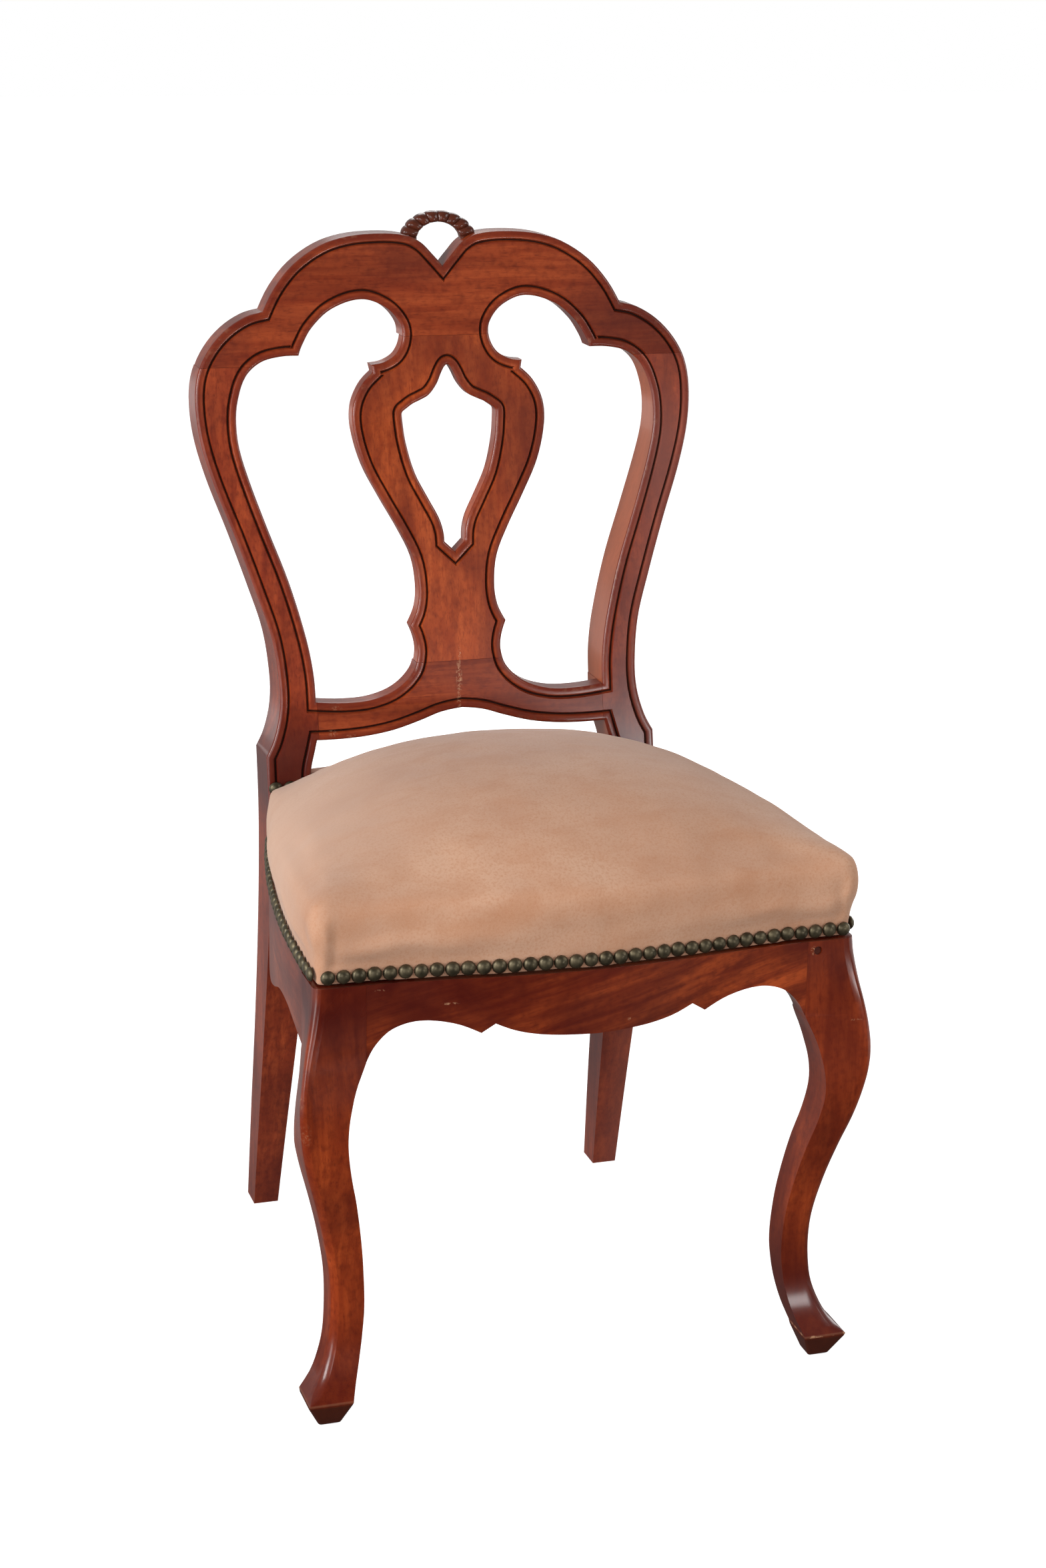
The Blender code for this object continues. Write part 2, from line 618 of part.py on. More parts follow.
def crest_loop():
    """Carved, fluted arch that bridges the notch of the crest."""
    sections = []
    steps = LOOP_FLUTES * 4
    for i in range(steps + 1):
        share = i / steps
        angle = share * (math.pi + 2 * LOOP_ENDS) - LOOP_ENDS
        flute = 0.5 - 0.5 * math.cos(2 * math.pi * LOOP_FLUTES * share)
        ahead = LOOP_FRONT_DEPTH + FLUTE_DEPTH * (1 - flute)
        inner = Vector((LOOP_INNER[0] * math.cos(angle), LOOP_INNER[1] * math.sin(angle)))
        outer = Vector((LOOP_OUTER[0] * math.cos(angle), LOOP_OUTER[1] * math.sin(angle)))
        outer -= (outer - inner) * FLUTE_SHARE * (1 - flute)
        section = []
        for reach, depth in ((0.0, 0.4), (0.3, 0.0), (0.7, 0.0), (1.0, 0.4), (0.85, 1.0), (0.15, 1.0)):
            x, z = inner.lerp(outer, reach)
            back = LOOP_FRONT_DEPTH + LOOP_DEPTH
            section.append((x, ahead + (back - ahead) * depth, LOOP_CENTRE_Z + z))
        sections.append(section)
    arch = loft("crest_loop", sections, "mahogany_dark")
    arch.data.transform(LEAN)
    top = mirrored_loop([point for point in sample(CREST_EDGE) if point[1] > CREST_JOINT_Z])
    combine(arch, prism("seat", [offset_loop(top, -GAP)], "front", -THROUGH, THROUGH), "DIFFERENCE")
    return arch


# Hidden parts of the seat

def corner_block(name, front):
    """Right corner block between two rails, just clear of the leg or stile, and its screws' line."""
    if front:
        x_near, y_near = JOINT_X - BLOCK_OFFSET, LEG_BACK_Y + BLOCK_OFFSET
        rail_y = [front_y(x_near) + RAIL_THICKNESS + GAP, front_y(x_near - BLOCK_FOOT) + RAIL_THICKNESS + GAP]
        y_far, corner = y_near + BLOCK_FOOT, Vector((JOINT_X, LEG_BACK_Y))
    else:
        x_near, y_near = STILE_INNER_X - BLOCK_OFFSET / 2, STILE_FRONT_Y - BLOCK_OFFSET
        rail_y = [REAR_RAIL_FRONT_Y - GAP] * 2
        y_far = y_near - BLOCK_FOOT
        corner = Vector((STILE_INNER_X + SCREW_LENGTH / 2, STILE_FRONT_Y + SCREW_LENGTH / 3))
    inner_x = [side_x(y) - RAIL_THICKNESS - GAP for y in (y_far, y_near)]
    x_far = x_near - BLOCK_FOOT
    outline = [(x_near, rail_y[0]), (x_far, rail_y[1]), (inner_x[0], y_far), (inner_x[1], y_near)]
    if front:
        outline.reverse()
    made = prism(name, [outline], "plan", BLOCK_BOTTOM, BLOCK_BOTTOM + BLOCK_HEIGHT, "beech")
    inner_middle = (Vector((x_far, rail_y[1])) + Vector((inner_x[0], y_far))) / 2
    direction = (corner - inner_middle).normalized()
    return made, inner_middle, direction


def wood_screw(name, head, direction):
    """Countersunk screw, turned from its profile, with its head's top at a place."""
    profile = [
        (0.0, 0.0), (SCREW_HEAD_RADIUS, 0.0), (SCREW_RADIUS, -SCREW_HEAD_HEIGHT),
        (SCREW_RADIUS, -SCREW_LENGTH * 0.85), (0.0, -SCREW_LENGTH),
    ]
    form = bmesh.new()
    rows = [form.verts.new((r, 0.0, z)) for r, z in profile]
    for a, b in zip(rows, rows[1:]):
        form.edges.new((a, b))
    mesh = bpy.data.meshes.new(name)
    form.to_mesh(mesh)
    form.free()
    made = add(name, mesh, "steel")
    turned = made.modifiers.new("turned", "SCREW")
    turned.steps = turned.render_steps = 8
    turned.use_merge_vertices = True
    turned.merge_threshold = 0.00001
    made.location = head
    made.rotation_euler = (-Vector(direction)).to_track_quat("Z", "Y").to_euler()
    return made


def fasten(hosts, place, direction, sign, name):
    """Two screws through a block into the post behind it, with their holes."""
    flat = Vector((direction.x * sign, direction.y, 0.0))
    for row, side in enumerate((-1, 1)):
        height = BLOCK_BOTTOM + BLOCK_HEIGHT / 2 + side * SCREW_SPACING / 2
        head = Vector((place.x * sign, place.y, height)) + flat * (SCREW_HEAD_HEIGHT + SCREW_HEAD_RADIUS)
        tip = head + flat * (SCREW_LENGTH + GAP)
        for host in hosts:
            combine(host, cylinder("hole", SCREW_RADIUS + GAP, head, tip), "DIFFERENCE")
        mouth = head - flat * (SCREW_HEAD_HEIGHT + 4 * SCREW_HEAD_RADIUS)
        floor = head + flat * (SCREW_HEAD_HEIGHT + GAP)
        combine(hosts[0], cylinder("mouth", SCREW_HEAD_RADIUS + GAP, mouth, floor), "DIFFERENCE")
        wood_screw(f"{name}_screw_{row + 1}", head, flat)


def strap(name, centre, along_x, ends, crossings, first_over):
    """Webbing strap that passes over and under the ones it crosses."""
    swing = (WEB_THICKNESS + WEB_LEVEL_GAP) / 2
    rest = RAIL_TOP + GAP + WEB_THICKNESS / 2
    route = [(ends[0], rest)]
    for i, place in enumerate(crossings):
        over = (i % 2 == 0) == first_over
        level = rest + (2 * swing if over else 0.0)
        route += [(place - WEB_WIDTH / 2 - 2 * GAP, level), (place + WEB_WIDTH / 2 + 2 * GAP, level)]
    route.append((ends[1], rest))
    sections = []
    for place, level in route:
        section = []
        for across, up in ((-1, -1), (1, -1), (1, 1), (-1, 1)):
            beside = centre + across * WEB_WIDTH / 2
            z = level + up * WEB_THICKNESS / 2
            section.append((place, beside, z) if along_x else (beside, place, z))
        sections.append(section)
    return loft(name, sections, "jute")


def webbing():
    """Four straps from front to back, woven with three from side to side, on top of the rails."""
    lengthwise = [(i - 1.5) * WEB_SPACE for i in range(4)]
    crosswise = [CROSS_WEB_MIDDLE_Y + (i - 1) * CROSS_WEB_SPACE for i in range(3)]
    for i, x in enumerate(lengthwise):
        ends = (front_y(abs(x) + WEB_WIDTH / 2) + WEB_END_INSET, REAR_RAIL_BACK_Y - WEB_END_INSET)
        strap(f"webbing_lengthwise_{i + 1}", x, False, ends, crosswise, i % 2 == 0)
    for i, y in enumerate(crosswise):
        reach = side_x(y + WEB_WIDTH / 2) - WEB_END_INSET
        strap(f"webbing_crosswise_{i + 1}", y, True, (-reach, reach), lengthwise, i % 2 == 1)


# Upholstery

def cushion_rings(plan, inset):
    """Rings of the stuffed seat's surface, moved inwards by inset, from its lower edge to its crown."""
    base = REBATE - GAP - COVER_THICKNESS
    bottom = SHOW_TOP + GAP
    flat = (NAIL_RISE + 0.55 * NAIL_DIAMETER) / (COVER_EDGE_Z - COVER_REAR_DROP - bottom)
    wall = [(0.0, 0.0), (0.0, flat)]
    for bulge, rise in ((0.45, 0.26), (0.9, 0.54), (1.0, 0.74), (0.62, 0.92), (-0.15, 1.0)):
        wall.append((bulge, flat + (1 - flat) * rise))
    depth = COVER_BACK_Y - LEG_FRONT_Y
    rings = []
    for bulge, rise in wall:
        ring = []
        for x, y in offset_loop(plan, base + inset - bulge * COVER_BULGE):
            edge = COVER_EDGE_Z - COVER_REAR_DROP * (y - LEG_FRONT_Y) / depth - inset
            ring.append((x, y, bottom + (edge - bottom) * rise))
        rings.append(ring)
    margin = base + inset - wall[-1][0] * COVER_BULGE
    edge_ring = rings[-1]
    for share in (0.92, 0.80, 0.64, 0.44, 0.20):
        ring = []
        for x, y, z in edge_ring:
            place = (x * share, SEAT_MIDDLE_Y + (y - SEAT_MIDDLE_Y) * share)
            level = z - COVER_REAR_DROP * (place[1] - y) / depth
            ring.append((*place, level + CROWN * swell(*place, margin)))
        rings.append(ring)
    level = COVER_EDGE_Z - COVER_REAR_DROP * (SEAT_MIDDLE_Y - LEG_FRONT_Y) / depth
    crown = (0.0, SEAT_MIDDLE_Y, level - inset + CROWN)
    holds = [0.0, 0.0, 0.2, 0.55, 0.85] + [1.0] * (len(rings) - 5)
    return [[pinched(point, hold) for point in ring] for ring, hold in zip(rings, holds)], crown


def swell(x, y, margin):
    """Share of the crown's height at a place of the seat, whose edge lies a margin inside its plan."""
    if y > SEAT_MIDDLE_Y:
        reach = COVER_BACK_Y - margin - SEAT_MIDDLE_Y
    else:
        reach = SEAT_MIDDLE_Y - front_y(x) - margin
    across = min(1.0, abs(x) / (side_x(y) - margin))
    along_seat = min(1.0, abs(y - SEAT_MIDDLE_Y) / reach)
    return (1 - across ** CROWN_POWER) * (1 - along_seat ** CROWN_POWER)


def pinched(point, hold):
    """Move a place of the cover down where it is nailed to a stile's front."""
    x, y, z = point
    middle_x = (STILE_INNER_X + STILE_OUTER_X) / 2
    away = math.hypot((abs(x) - middle_x) / PINCH_RADIUS, (y - STILE_FRONT_Y) / PINCH_RADIUS)
    return x, y, z - PINCH_DEPTH * hold * math.exp(-away * away)


def stile_slots(piece):
    """Cut the seat's rear corners free of both stiles, along their inner edges, and of the nails on them."""
    clear = 2 * STILE_CLEARANCE
    nail_y = STILE_FRONT_Y - NAIL_HEIGHT - clear
    nail_z = STILE_NAIL_Z - NAIL_DIAMETER / 2 - clear
    edge = [(x - clear, z) for x, z in sample(UNDER_EDGE) if x >= UNDER_EDGE[3][0]]
    far, high = 2 * FRONT_HALF, 2 * COVER_EDGE_Z
    outline = [(edge[0][0], 0.0), (far, 0.0), (far, high), (edge[-1][0], high)] + edge[::-1]
    for sign in (-1, 1):
        slot = prism("slot", [outline], "front", STILE_FRONT_Y - STILE_CLEARANCE, 2 * COVER_BACK_Y)
        room = block("nail_room", (STILE_INNER_X - clear, far), (nail_y, 2 * COVER_BACK_Y), (nail_z, high))
        for cutter in (slot, room):
            cutter.data.transform(Matrix.Diagonal((sign, 1, 1, 1)))
            tidy_mesh(cutter.data)
            combine(piece, cutter, "DIFFERENCE")


def seat_cover(plan):
    """Stuffed-over cover, a thin shell that is open below."""
    outer, crown = cushion_rings(plan, 0.0)
    shell = loft("seat_cover", outer, "velour", peak=crown)
    stile_slots(shell)
    inner, low_crown = cushion_rings(plan, COVER_THICKNESS)
    lowered = [[(x, y, z - CUT_MARGIN) for x, y, z in inner[0]]] + inner
    combine(shell, loft("hollow", lowered, peak=low_crown), "DIFFERENCE")
    return shell


def seat_stuffing(plan, floor):
    """Crowned stuffing pad under the cover."""
    rings, crown = cushion_rings(plan, COVER_THICKNESS + 2 * GAP)
    pad = loft("seat_stuffing", rings, "stuffing", peak=crown)
    stile_slots(pad)
    size = 2 * FRONT_HALF
    combine(pad, block("floor", (-size, size), (-size, size), (0.0, floor)), "DIFFERENCE")
    return pad


def nail_row(name, path):
    """Row of domed nails along a path of (x, y, z, outward x, outward y) places, as one beaded strip."""
    length = sum((Vector(b[:3]) - Vector(a[:3])).length for a, b in zip(path, path[1:]))
    count = max(2, round(length / NAIL_PITCH))
    pitch = length / count
    radius = min(NAIL_DIAMETER, pitch) / 2
    sections = []
    for i in range(count):
        for share in (0.0, 0.25, 0.75):
            sections.append((i + share) * pitch)
    sections.append(length)
    made = []
    for place in sections:
        x, y, z, out_x, out_y, up = along(path, place)
        off = abs((place / pitch) % 1.0 - 0.5) * pitch
        half = NAIL_NECK if off > 0.3 * pitch else radius * 0.92
        height = NAIL_HEIGHT * half / radius
        ring = []
        for across, out in ((-1.0, 0.0), (-0.62, 0.75), (0.62, 0.75), (1.0, 0.0)):
            reach = GAP + out * height
            ring.append((x + out_x * reach + up[0] * across * half, y + out_y * reach + up[1] * across * half,
                         z + up[2] * across * half))
        made.append(ring)
    return loft(name, made, "bronze")


def along(path, distance):
    """Place, outward direction and crosswise direction at a distance along a nail path."""
    for a, b in zip(path, path[1:]):
        first, second = Vector(a[:3]), Vector(b[:3])
        step = (second - first).length
        if distance <= step + 1e-9 or b is path[-1]:
            share = distance / step
            here = first.lerp(second, share)
            outward = Vector((a[3] + (b[3] - a[3]) * share, a[4] + (b[4] - a[4]) * share, 0.0)).normalized()
            across = outward.cross((second - first).normalized())
            return (*here, outward.x, outward.y, tuple(across))
        distance -= step


def nail_rows(plan):
    """Nails along the front, both sides and the rear of the cover."""
    ring = offset_loop(plan, REBATE - GAP - COVER_THICKNESS)
    level = SHOW_TOP + NAIL_RISE
    places = []
    for i, (x, y) in enumerate(ring):
        ahead = Vector(ring[(i + 1) % len(ring)]) - Vector(ring[i - 1])
        ahead.normalize()
        places.append((x, y, level, ahead.y, -ahead.x))
    end_x = FRONT_HALF - SEAT_CORNER_RADIUS
    front = [p for p in places if p[1] < LEG_FRONT_Y + REBATE and abs(p[0]) <= end_x]
    front.sort(key=lambda p: p[0])
    nail_row("nails_front", front)
    limit = STILE_FRONT_Y - STILE_CLEARANCE - NAIL_NECK
    for sign, name in ((1, "nails_right"), (-1, "nails_left")):
        first = LEG_FRONT_Y + SEAT_CORNER_RADIUS
        row = [p for p in places if p[0] * sign > STILE_INNER_X and first - REBATE < p[1] < limit]
        row.sort(key=lambda p: p[1])
        last = row[-1]
        row.append((last[0] + sign * (side_x(limit) - side_x(last[1])), limit, level, last[3], last[4]))
        nail_row(name, row)
    seat_y = STILE_FRONT_Y + RAKE_SLOPE * (STILE_NAIL_Z - NAIL_DIAMETER / 2 - PLANE_Z)
    for sign, name in ((1, "nails_stile_right"), (-1, "nails_stile_left")):
        ends = sorted((sign * (STILE_INNER_X + NAIL_NECK), sign * (STILE_OUTER_X - NAIL_NECK)))
        nail_row(name, [(x, seat_y, STILE_NAIL_Z, 0.0, -1.0) for x in ends])
    rear_y = COVER_BACK_Y - (REBATE - GAP - COVER_THICKNESS)
    reach = STILE_INNER_X - 3 * STILE_CLEARANCE - NAIL_NECK
    nail_row("nails_rear", [(reach, rear_y, level, 0.0, 1.0), (-reach, rear_y, level, 0.0, 1.0)])


# Assembly

def build_back():
    """Stiles, crest, splat, cross rail and loop, with their joints and moulding."""
    outer, moulded, openings = back_loops()
    wide, high, step = 2 * FRONT_HALF, 2 * CREST_JOINT_Z, CREST_STEP_X
    low, top, foot = CREST_JOINT_Z + GAP, SPLAT_TOP_JOINT_Z, SPLAT_FOOT_JOINT_Z
    crest_ground = [
        (-wide, low), (-step, low), (-step, top + GAP), (step, top + GAP), (step, low), (wide, low),
        (wide, high), (-wide, high),
    ]
    splat_ground = [(-step, foot + GAP), (step, foot + GAP), (step, top - GAP), (-step, top - GAP)]
    limit = CROSS_JOINT_X - GAP
    rail_ground = [(-limit, PLANE_Z), (limit, PLANE_Z), (limit, foot - GAP), (-limit, foot - GAP)]
    crest = back_member("crest_rail", outer, openings, crest_ground, CREST_THICKNESS)
    splat = back_member("back_splat", outer, openings, splat_ground, SPLAT_THICKNESS)
    cross = back_member("back_cross_rail", outer, openings, rail_ground, CROSS_RAIL_THICKNESS)
    stile = rear_stile("rear_stile_right", outer, openings)
    for cutter in moulding(moulded, openings):
        for piece in (crest, splat, cross, stile):
            combine(piece, cutter, "DIFFERENCE", keep=True)
        bpy.data.objects.remove(cutter, do_unlink=True)
    crest_loop()
    middle = (SPLAT_THICKNESS - TENON_THICKNESS) / 2
    splat_depth = (middle, middle + TENON_THICKNESS)
    splat_width = (-SPLAT_TENON_HALF, SPLAT_TENON_HALF)
    joined(splat, crest, splat_width, splat_depth,
           (SPLAT_TOP_JOINT_Z - CUT_MARGIN, SPLAT_TOP_JOINT_Z + TENON_LENGTH), leaning=True)
    joined(splat, cross, splat_width, splat_depth,
           (SPLAT_FOOT_JOINT_Z - TENON_LENGTH, SPLAT_FOOT_JOINT_Z + CUT_MARGIN), leaning=True)
    return crest, cross, stile


def side_joints(crest, cross, front, rear, side, leg, stile, sign):
    """Tenons of one side of the chair."""
    def across(low, high):
        return tuple(sorted((sign * low, sign * high)))

    middle = (CROSS_RAIL_THICKNESS - TENON_THICKNESS) / 2
    joined(cross, stile, across(CROSS_JOINT_X - CUT_MARGIN, CROSS_JOINT_X + SHORT_TENON),
           (middle, middle + TENON_THICKNESS), CROSS_TENON_Z, leaning=True)
    joined(stile, crest, across(*CREST_TENON_X), (CREST_TENON_DEPTH, CREST_TENON_DEPTH + TENON_THICKNESS),
           (CREST_JOINT_Z - CUT_MARGIN, CREST_JOINT_Z + SHORT_TENON), leaning=True)
    rail_middle = (RAIL_THICKNESS - TENON_THICKNESS) / 2
    low_y = LEG_FRONT_Y + rail_middle
    joined(front, leg, across(JOINT_X - CUT_MARGIN, JOINT_X + TENON_LENGTH), (low_y, low_y + TENON_THICKNESS),
           RAIL_TENON_Z)
    leg_x = FRONT_HALF - rail_middle
    joined(side, leg, across(leg_x - TENON_THICKNESS, leg_x),
           (LEG_BACK_Y - TENON_LENGTH, LEG_BACK_Y + CUT_MARGIN), RAIL_TENON_Z)
    stile_x = STILE_OUTER_X - rail_middle
    joined(side, stile, across(stile_x - TENON_THICKNESS, stile_x),
           (STILE_FRONT_Y - CUT_MARGIN, STILE_FRONT_Y + TENON_LENGTH), RAIL_TENON_Z)
    rear_y = REAR_RAIL_BACK_Y - (REAR_RAIL_THICKNESS - TENON_THICKNESS) / 2
    joined(rear, stile, across(STILE_INNER_X - CUT_MARGIN, STILE_INNER_X + SHORT_TENON),
           (rear_y - TENON_THICKNESS, rear_y), RAIL_TENON_Z)


def peg_joint(leg, rail):
    """Wooden peg through the right leg and the front rail's tenon."""
    x = JOINT_X + TENON_LENGTH * 0.45
    front = LEG_FRONT_Y + PEG_SINK
    ends = (x, front, PEG_Z), (x, front + PEG_LENGTH, PEG_Z)
    for host in (leg, rail):
        hole = cylinder("peg_hole", PEG_RADIUS + GAP, (x, front - CUT_MARGIN, PEG_Z),
                        (x, front + PEG_LENGTH + GAP, PEG_Z))
        combine(host, hole, "DIFFERENCE")
    cylinder("joint_peg", PEG_RADIUS, *ends, material="mahogany_dark")


def middle_of_depth():
    """Middle of the whole chair's extent along y."""
    bpy.context.view_layer.update()
    places = []
    for piece in bpy.data.collections["sewing_chair"].objects:
        if piece.type == "MESH":
            places += [(piece.matrix_world @ vertex.co).y for vertex in piece.data.vertices]
    return (min(places) + max(places)) / 2


def main():
    """Build every piece in its place."""
    root = start()
    crest, cross, stile_right = build_back()
    stile_left = other_side(stile_right, "rear_stile_left")
    leg_right = front_leg("front_leg_right")
    stile_front = [(z, y) for y, z in sample(STILE_FRONT)]
    front = front_rail()
    side_right = side_rail("side_seat_rail_right", stile_front)
    plan = seat_loop()
    rim = 2 * FRONT_HALF
    frame_hole = offset_loop(plan, REBATE)[::-1]
    border = [(-rim, -rim), (rim, -rim), (rim, rim), (-rim, rim)]
    rebate = prism("rebate", [border, frame_hole], "plan", SHOW_TOP, RAIL_TOP + CUT_MARGIN)
    for piece in (leg_right, front, side_right):
        combine(piece, rebate, "DIFFERENCE", keep=True)
    bpy.data.objects.remove(rebate, do_unlink=True)
    leg_left = other_side(leg_right, "front_leg_left")
    side_left = other_side(side_right, "side_seat_rail_left")
    rear_half = STILE_INNER_X - GAP
    rear = block("rear_seat_rail", (-rear_half, rear_half), (REAR_RAIL_FRONT_Y, REAR_RAIL_BACK_Y),
                 (REAR_RAIL_BOTTOM, RAIL_TOP), "mahogany")
    side_joints(crest, cross, front, rear, side_right, leg_right, stile_right, 1)
    side_joints(crest, cross, front, rear, side_left, leg_left, stile_left, -1)
    peg_joint(leg_right, front)
    posts = {(True, 1): leg_right, (True, -1): leg_left, (False, 1): stile_right, (False, -1): stile_left}
    for (at_front, sign), post in posts.items():
        name = f"corner_block_{'front' if at_front else 'rear'}_{'right' if sign > 0 else 'left'}"
        made, place, direction = corner_block(name, at_front)
        if sign < 0:
            mirrored = other_side(made, name + "_copy")
            bpy.data.objects.remove(made, do_unlink=True)
            mirrored.name = name
            made = mirrored
        fasten([made, post], place, direction, sign, name)
    webbing()
    hessian_low = RAIL_TOP + 2 * GAP + 2 * WEB_THICKNESS + WEB_LEVEL_GAP
    hessian_top = hessian_low + HESSIAN_THICKNESS
    cloth = offset_loop(plan, HESSIAN_INSET)
    hessian = loft("hessian", [[(x, y, z) for x, y in cloth] for z in (hessian_low, hessian_top)], "jute")
    stile_slots(hessian)
    seat_stuffing(plan, hessian_top + GAP)
    seat_cover(plan)
    nail_rows(plan)
    root.location.y = -middle_of_depth()


main()
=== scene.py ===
"""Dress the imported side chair: moulded back, cabriole legs, bowed rails, stuffed seat and domed nails.

Pieces are built in the drawing frame of the chair, in metres, with +Z up and the front towards -Y.
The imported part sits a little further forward, so each finished mesh is moved by the same distance.
"""
from __future__ import annotations

import logging
import math
import random
from dataclasses import dataclass, field
from enum import Enum
from typing import Callable

import bmesh
import bpy
from mathutils import Matrix, Vector, noise
from mathutils.geometry import interpolate_bezier
from mathutils.kdtree import KDTree

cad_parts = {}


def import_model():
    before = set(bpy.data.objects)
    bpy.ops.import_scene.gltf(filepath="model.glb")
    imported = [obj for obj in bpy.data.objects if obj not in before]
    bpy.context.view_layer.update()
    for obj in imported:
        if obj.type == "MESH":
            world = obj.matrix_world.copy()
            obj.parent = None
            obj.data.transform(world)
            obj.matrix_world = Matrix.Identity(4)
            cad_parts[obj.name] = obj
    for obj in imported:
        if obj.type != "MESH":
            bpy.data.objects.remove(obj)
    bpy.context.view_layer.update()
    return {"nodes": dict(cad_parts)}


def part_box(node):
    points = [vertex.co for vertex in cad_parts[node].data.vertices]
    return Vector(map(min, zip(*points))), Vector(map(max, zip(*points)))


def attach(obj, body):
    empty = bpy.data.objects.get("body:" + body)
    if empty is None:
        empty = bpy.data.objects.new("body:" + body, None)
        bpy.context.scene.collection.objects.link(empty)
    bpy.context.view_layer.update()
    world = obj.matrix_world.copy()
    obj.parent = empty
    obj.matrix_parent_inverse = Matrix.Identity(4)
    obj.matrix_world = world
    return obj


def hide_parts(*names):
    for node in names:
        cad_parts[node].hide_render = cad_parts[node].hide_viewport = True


LOG = logging.getLogger("side_chair")
Point = tuple[float, float]
Place = tuple[float, float, float]
Loop = list[Point]
Piece = bpy.types.Object
Nails = list[tuple[Vector, Vector]]
Socket = bpy.types.NodeSocket
Colour = tuple[float, float, float, float]
Value = float | Place | Colour | Socket
Links = dict[str | int, Value]
Band = tuple[float, ...]

TINY = 1e-9
MERGE = 1e-6
SHARP = math.radians(40)
THROUGH = 0.5
BEVEL_WEIGHT = "bevel_weight_edge"


class Bend(Enum):
    """How an outline passes one of its points."""

    SMOOTH = "smooth"
    CORNER = "corner"


class Cut(Enum):
    """What a cutter does to a piece."""

    REMOVE = "DIFFERENCE"
    KEEP = "INTERSECT"


class Facing(Enum):
    """Plane that a flat outline is drawn in."""

    FRONT = "front"
    SIDE = "side"
    PLAN = "plan"


S, C = Bend.SMOOTH, Bend.CORNER
Knot = tuple[float, float, Bend]


@dataclass(frozen=True)
class ChairSizes:
    """Sizes that several sub-assemblies share."""

    gap: float = 0.0001
    front_half: float = 0.235
    leg_front_y: float = -0.2236
    post: float = 0.043
    show_top: float = 0.392
    rail_thickness: float = 0.024
    front_bow: float = 0.015
    rebate: float = 0.003
    rear_rail_front_y: float = 0.1484
    rear_rail_thickness: float = 0.026
    seat_corner: float = 0.009
    stile_outer_x: float = 0.187
    stile_inner_x: float = 0.147
    stile_front_y: float = 0.1394
    plane_z: float = 0.440
    rake: float = 0.1898
    cover_thickness: float = 0.0016

    @property
    def joint_x(self) -> float:
        """Half the front rail's length between the posts."""
        return self.front_half - self.post

    @property
    def leg_back_y(self) -> float:
        """Rear face of the front posts."""
        return self.leg_front_y + self.post

    @property
    def cover_back_y(self) -> float:
        """Rear edge of the seat plan."""
        return self.rear_rail_front_y + self.rear_rail_thickness + self.rebate

    @property
    def seat_middle_y(self) -> float:
        """Middle of the seat from front to back."""
        return (self.leg_front_y + self.stile_front_y) / 2

    @property
    def cover_line(self) -> float:
        """How far the cover's outer face lies inside the seat plan."""
        return self.rebate - self.gap - self.cover_thickness

    def plane_y(self, z: float) -> float:
        """Front plane of the leaning back at a height."""
        return self.stile_front_y + self.rake * (z - self.plane_z)

    def front_y(self, x: float) -> float:
        """Bowed front face of the seat frame."""
        share = min(1.0, abs(x) / self.joint_x)
        return self.leg_front_y - self.front_bow * (1 - share * share) ** 2

    def side_x(self, y: float) -> float:
        """Curved side face of the seat frame."""
        share = (y - self.leg_front_y) / (self.stile_front_y - self.leg_front_y)
        return self.front_half - (self.front_half - self.stile_outer_x) * share * share

    @property
    def lean(self) -> Matrix:
        """Shear that turns (x, depth, z) into the leaning back.

        Returns:
            The shear as a matrix.
        """
        shear = Matrix.Identity(4)
        shear[1][2] = self.rake
        shear[1][3] = self.stile_front_y - self.rake * self.plane_z
        return shear


SIZES = ChairSizes()


# Outlines

def clamp(value: float) -> float:
    """Keep a share between 0 and 1."""
    return max(0.0, min(1.0, value))


def spread(low: float, high: float, count: int) -> list[float]:
    """Give evenly spaced values from low to high."""
    return [low + (high - low) * i / (count - 1) for i in range(count)]


def turn_between(first: Vector, second: Vector) -> float:
    """Give the angle between two directions, zero where one has no length.

    Args:
        first: One direction.
        second: The other direction.

    Returns:
        The angle in radians.
    """
    if first.length < TINY or second.length < TINY:
        return 0.0
    return first.angle(second)


def sample(
    knots: list[Knot],
    closed: bool = False,
    turn: float = math.radians(4.5),
    chord: float = 0.008,
) -> Loop:
    """Trace a smooth curve through knots, with corners where they ask for them.

    Args:
        knots: Points with how the curve passes them.
        closed: Whether the last knot leads back to the first.
        turn: Largest turn between two traced points.
        chord: Largest distance between two traced points.

    Returns:
        The traced points.
    """
    spots = [Vector((u, v, 0.0)) for u, v, _ in knots]
    count = len(spots)
    tangents: list[Vector | None] = []
    for i, (_, _, bend) in enumerate(knots):
        loose_end = not closed and i in (0, count - 1)
        if bend is Bend.CORNER or loose_end:
            tangents.append(None)
        else:
            tangents.append((spots[(i + 1) % count] - spots[i - 1]).normalized())
    traced: Loop = []
    for i in range(count if closed else count - 1):
        begin, end = spots[i], spots[(i + 1) % count]
        reach = (end - begin).length / 3
        leave, arrive = tangents[i], tangents[(i + 1) % count]
        handle_a = begin + leave * reach if leave else None
        handle_b = end - arrive * reach if arrive else None
        if handle_a is None:
            handle_a = begin.lerp(handle_b or end, 0.5)
        if handle_b is None:
            handle_b = end.lerp(handle_a, 0.5)
        bars = (handle_a - begin, handle_b - handle_a, end - handle_b)
        bending = turn_between(bars[0], bars[1]) + turn_between(bars[1], bars[2])
        steps = max(1, math.ceil(bending / turn), math.ceil(3 * reach / chord))
        traced += [(p.x, p.y) for p in interpolate_bezier(begin, handle_a, handle_b, end, steps + 1)[:-1]]
    if not closed:
        traced.append(tuple(spots[-1][:2]))
    return traced


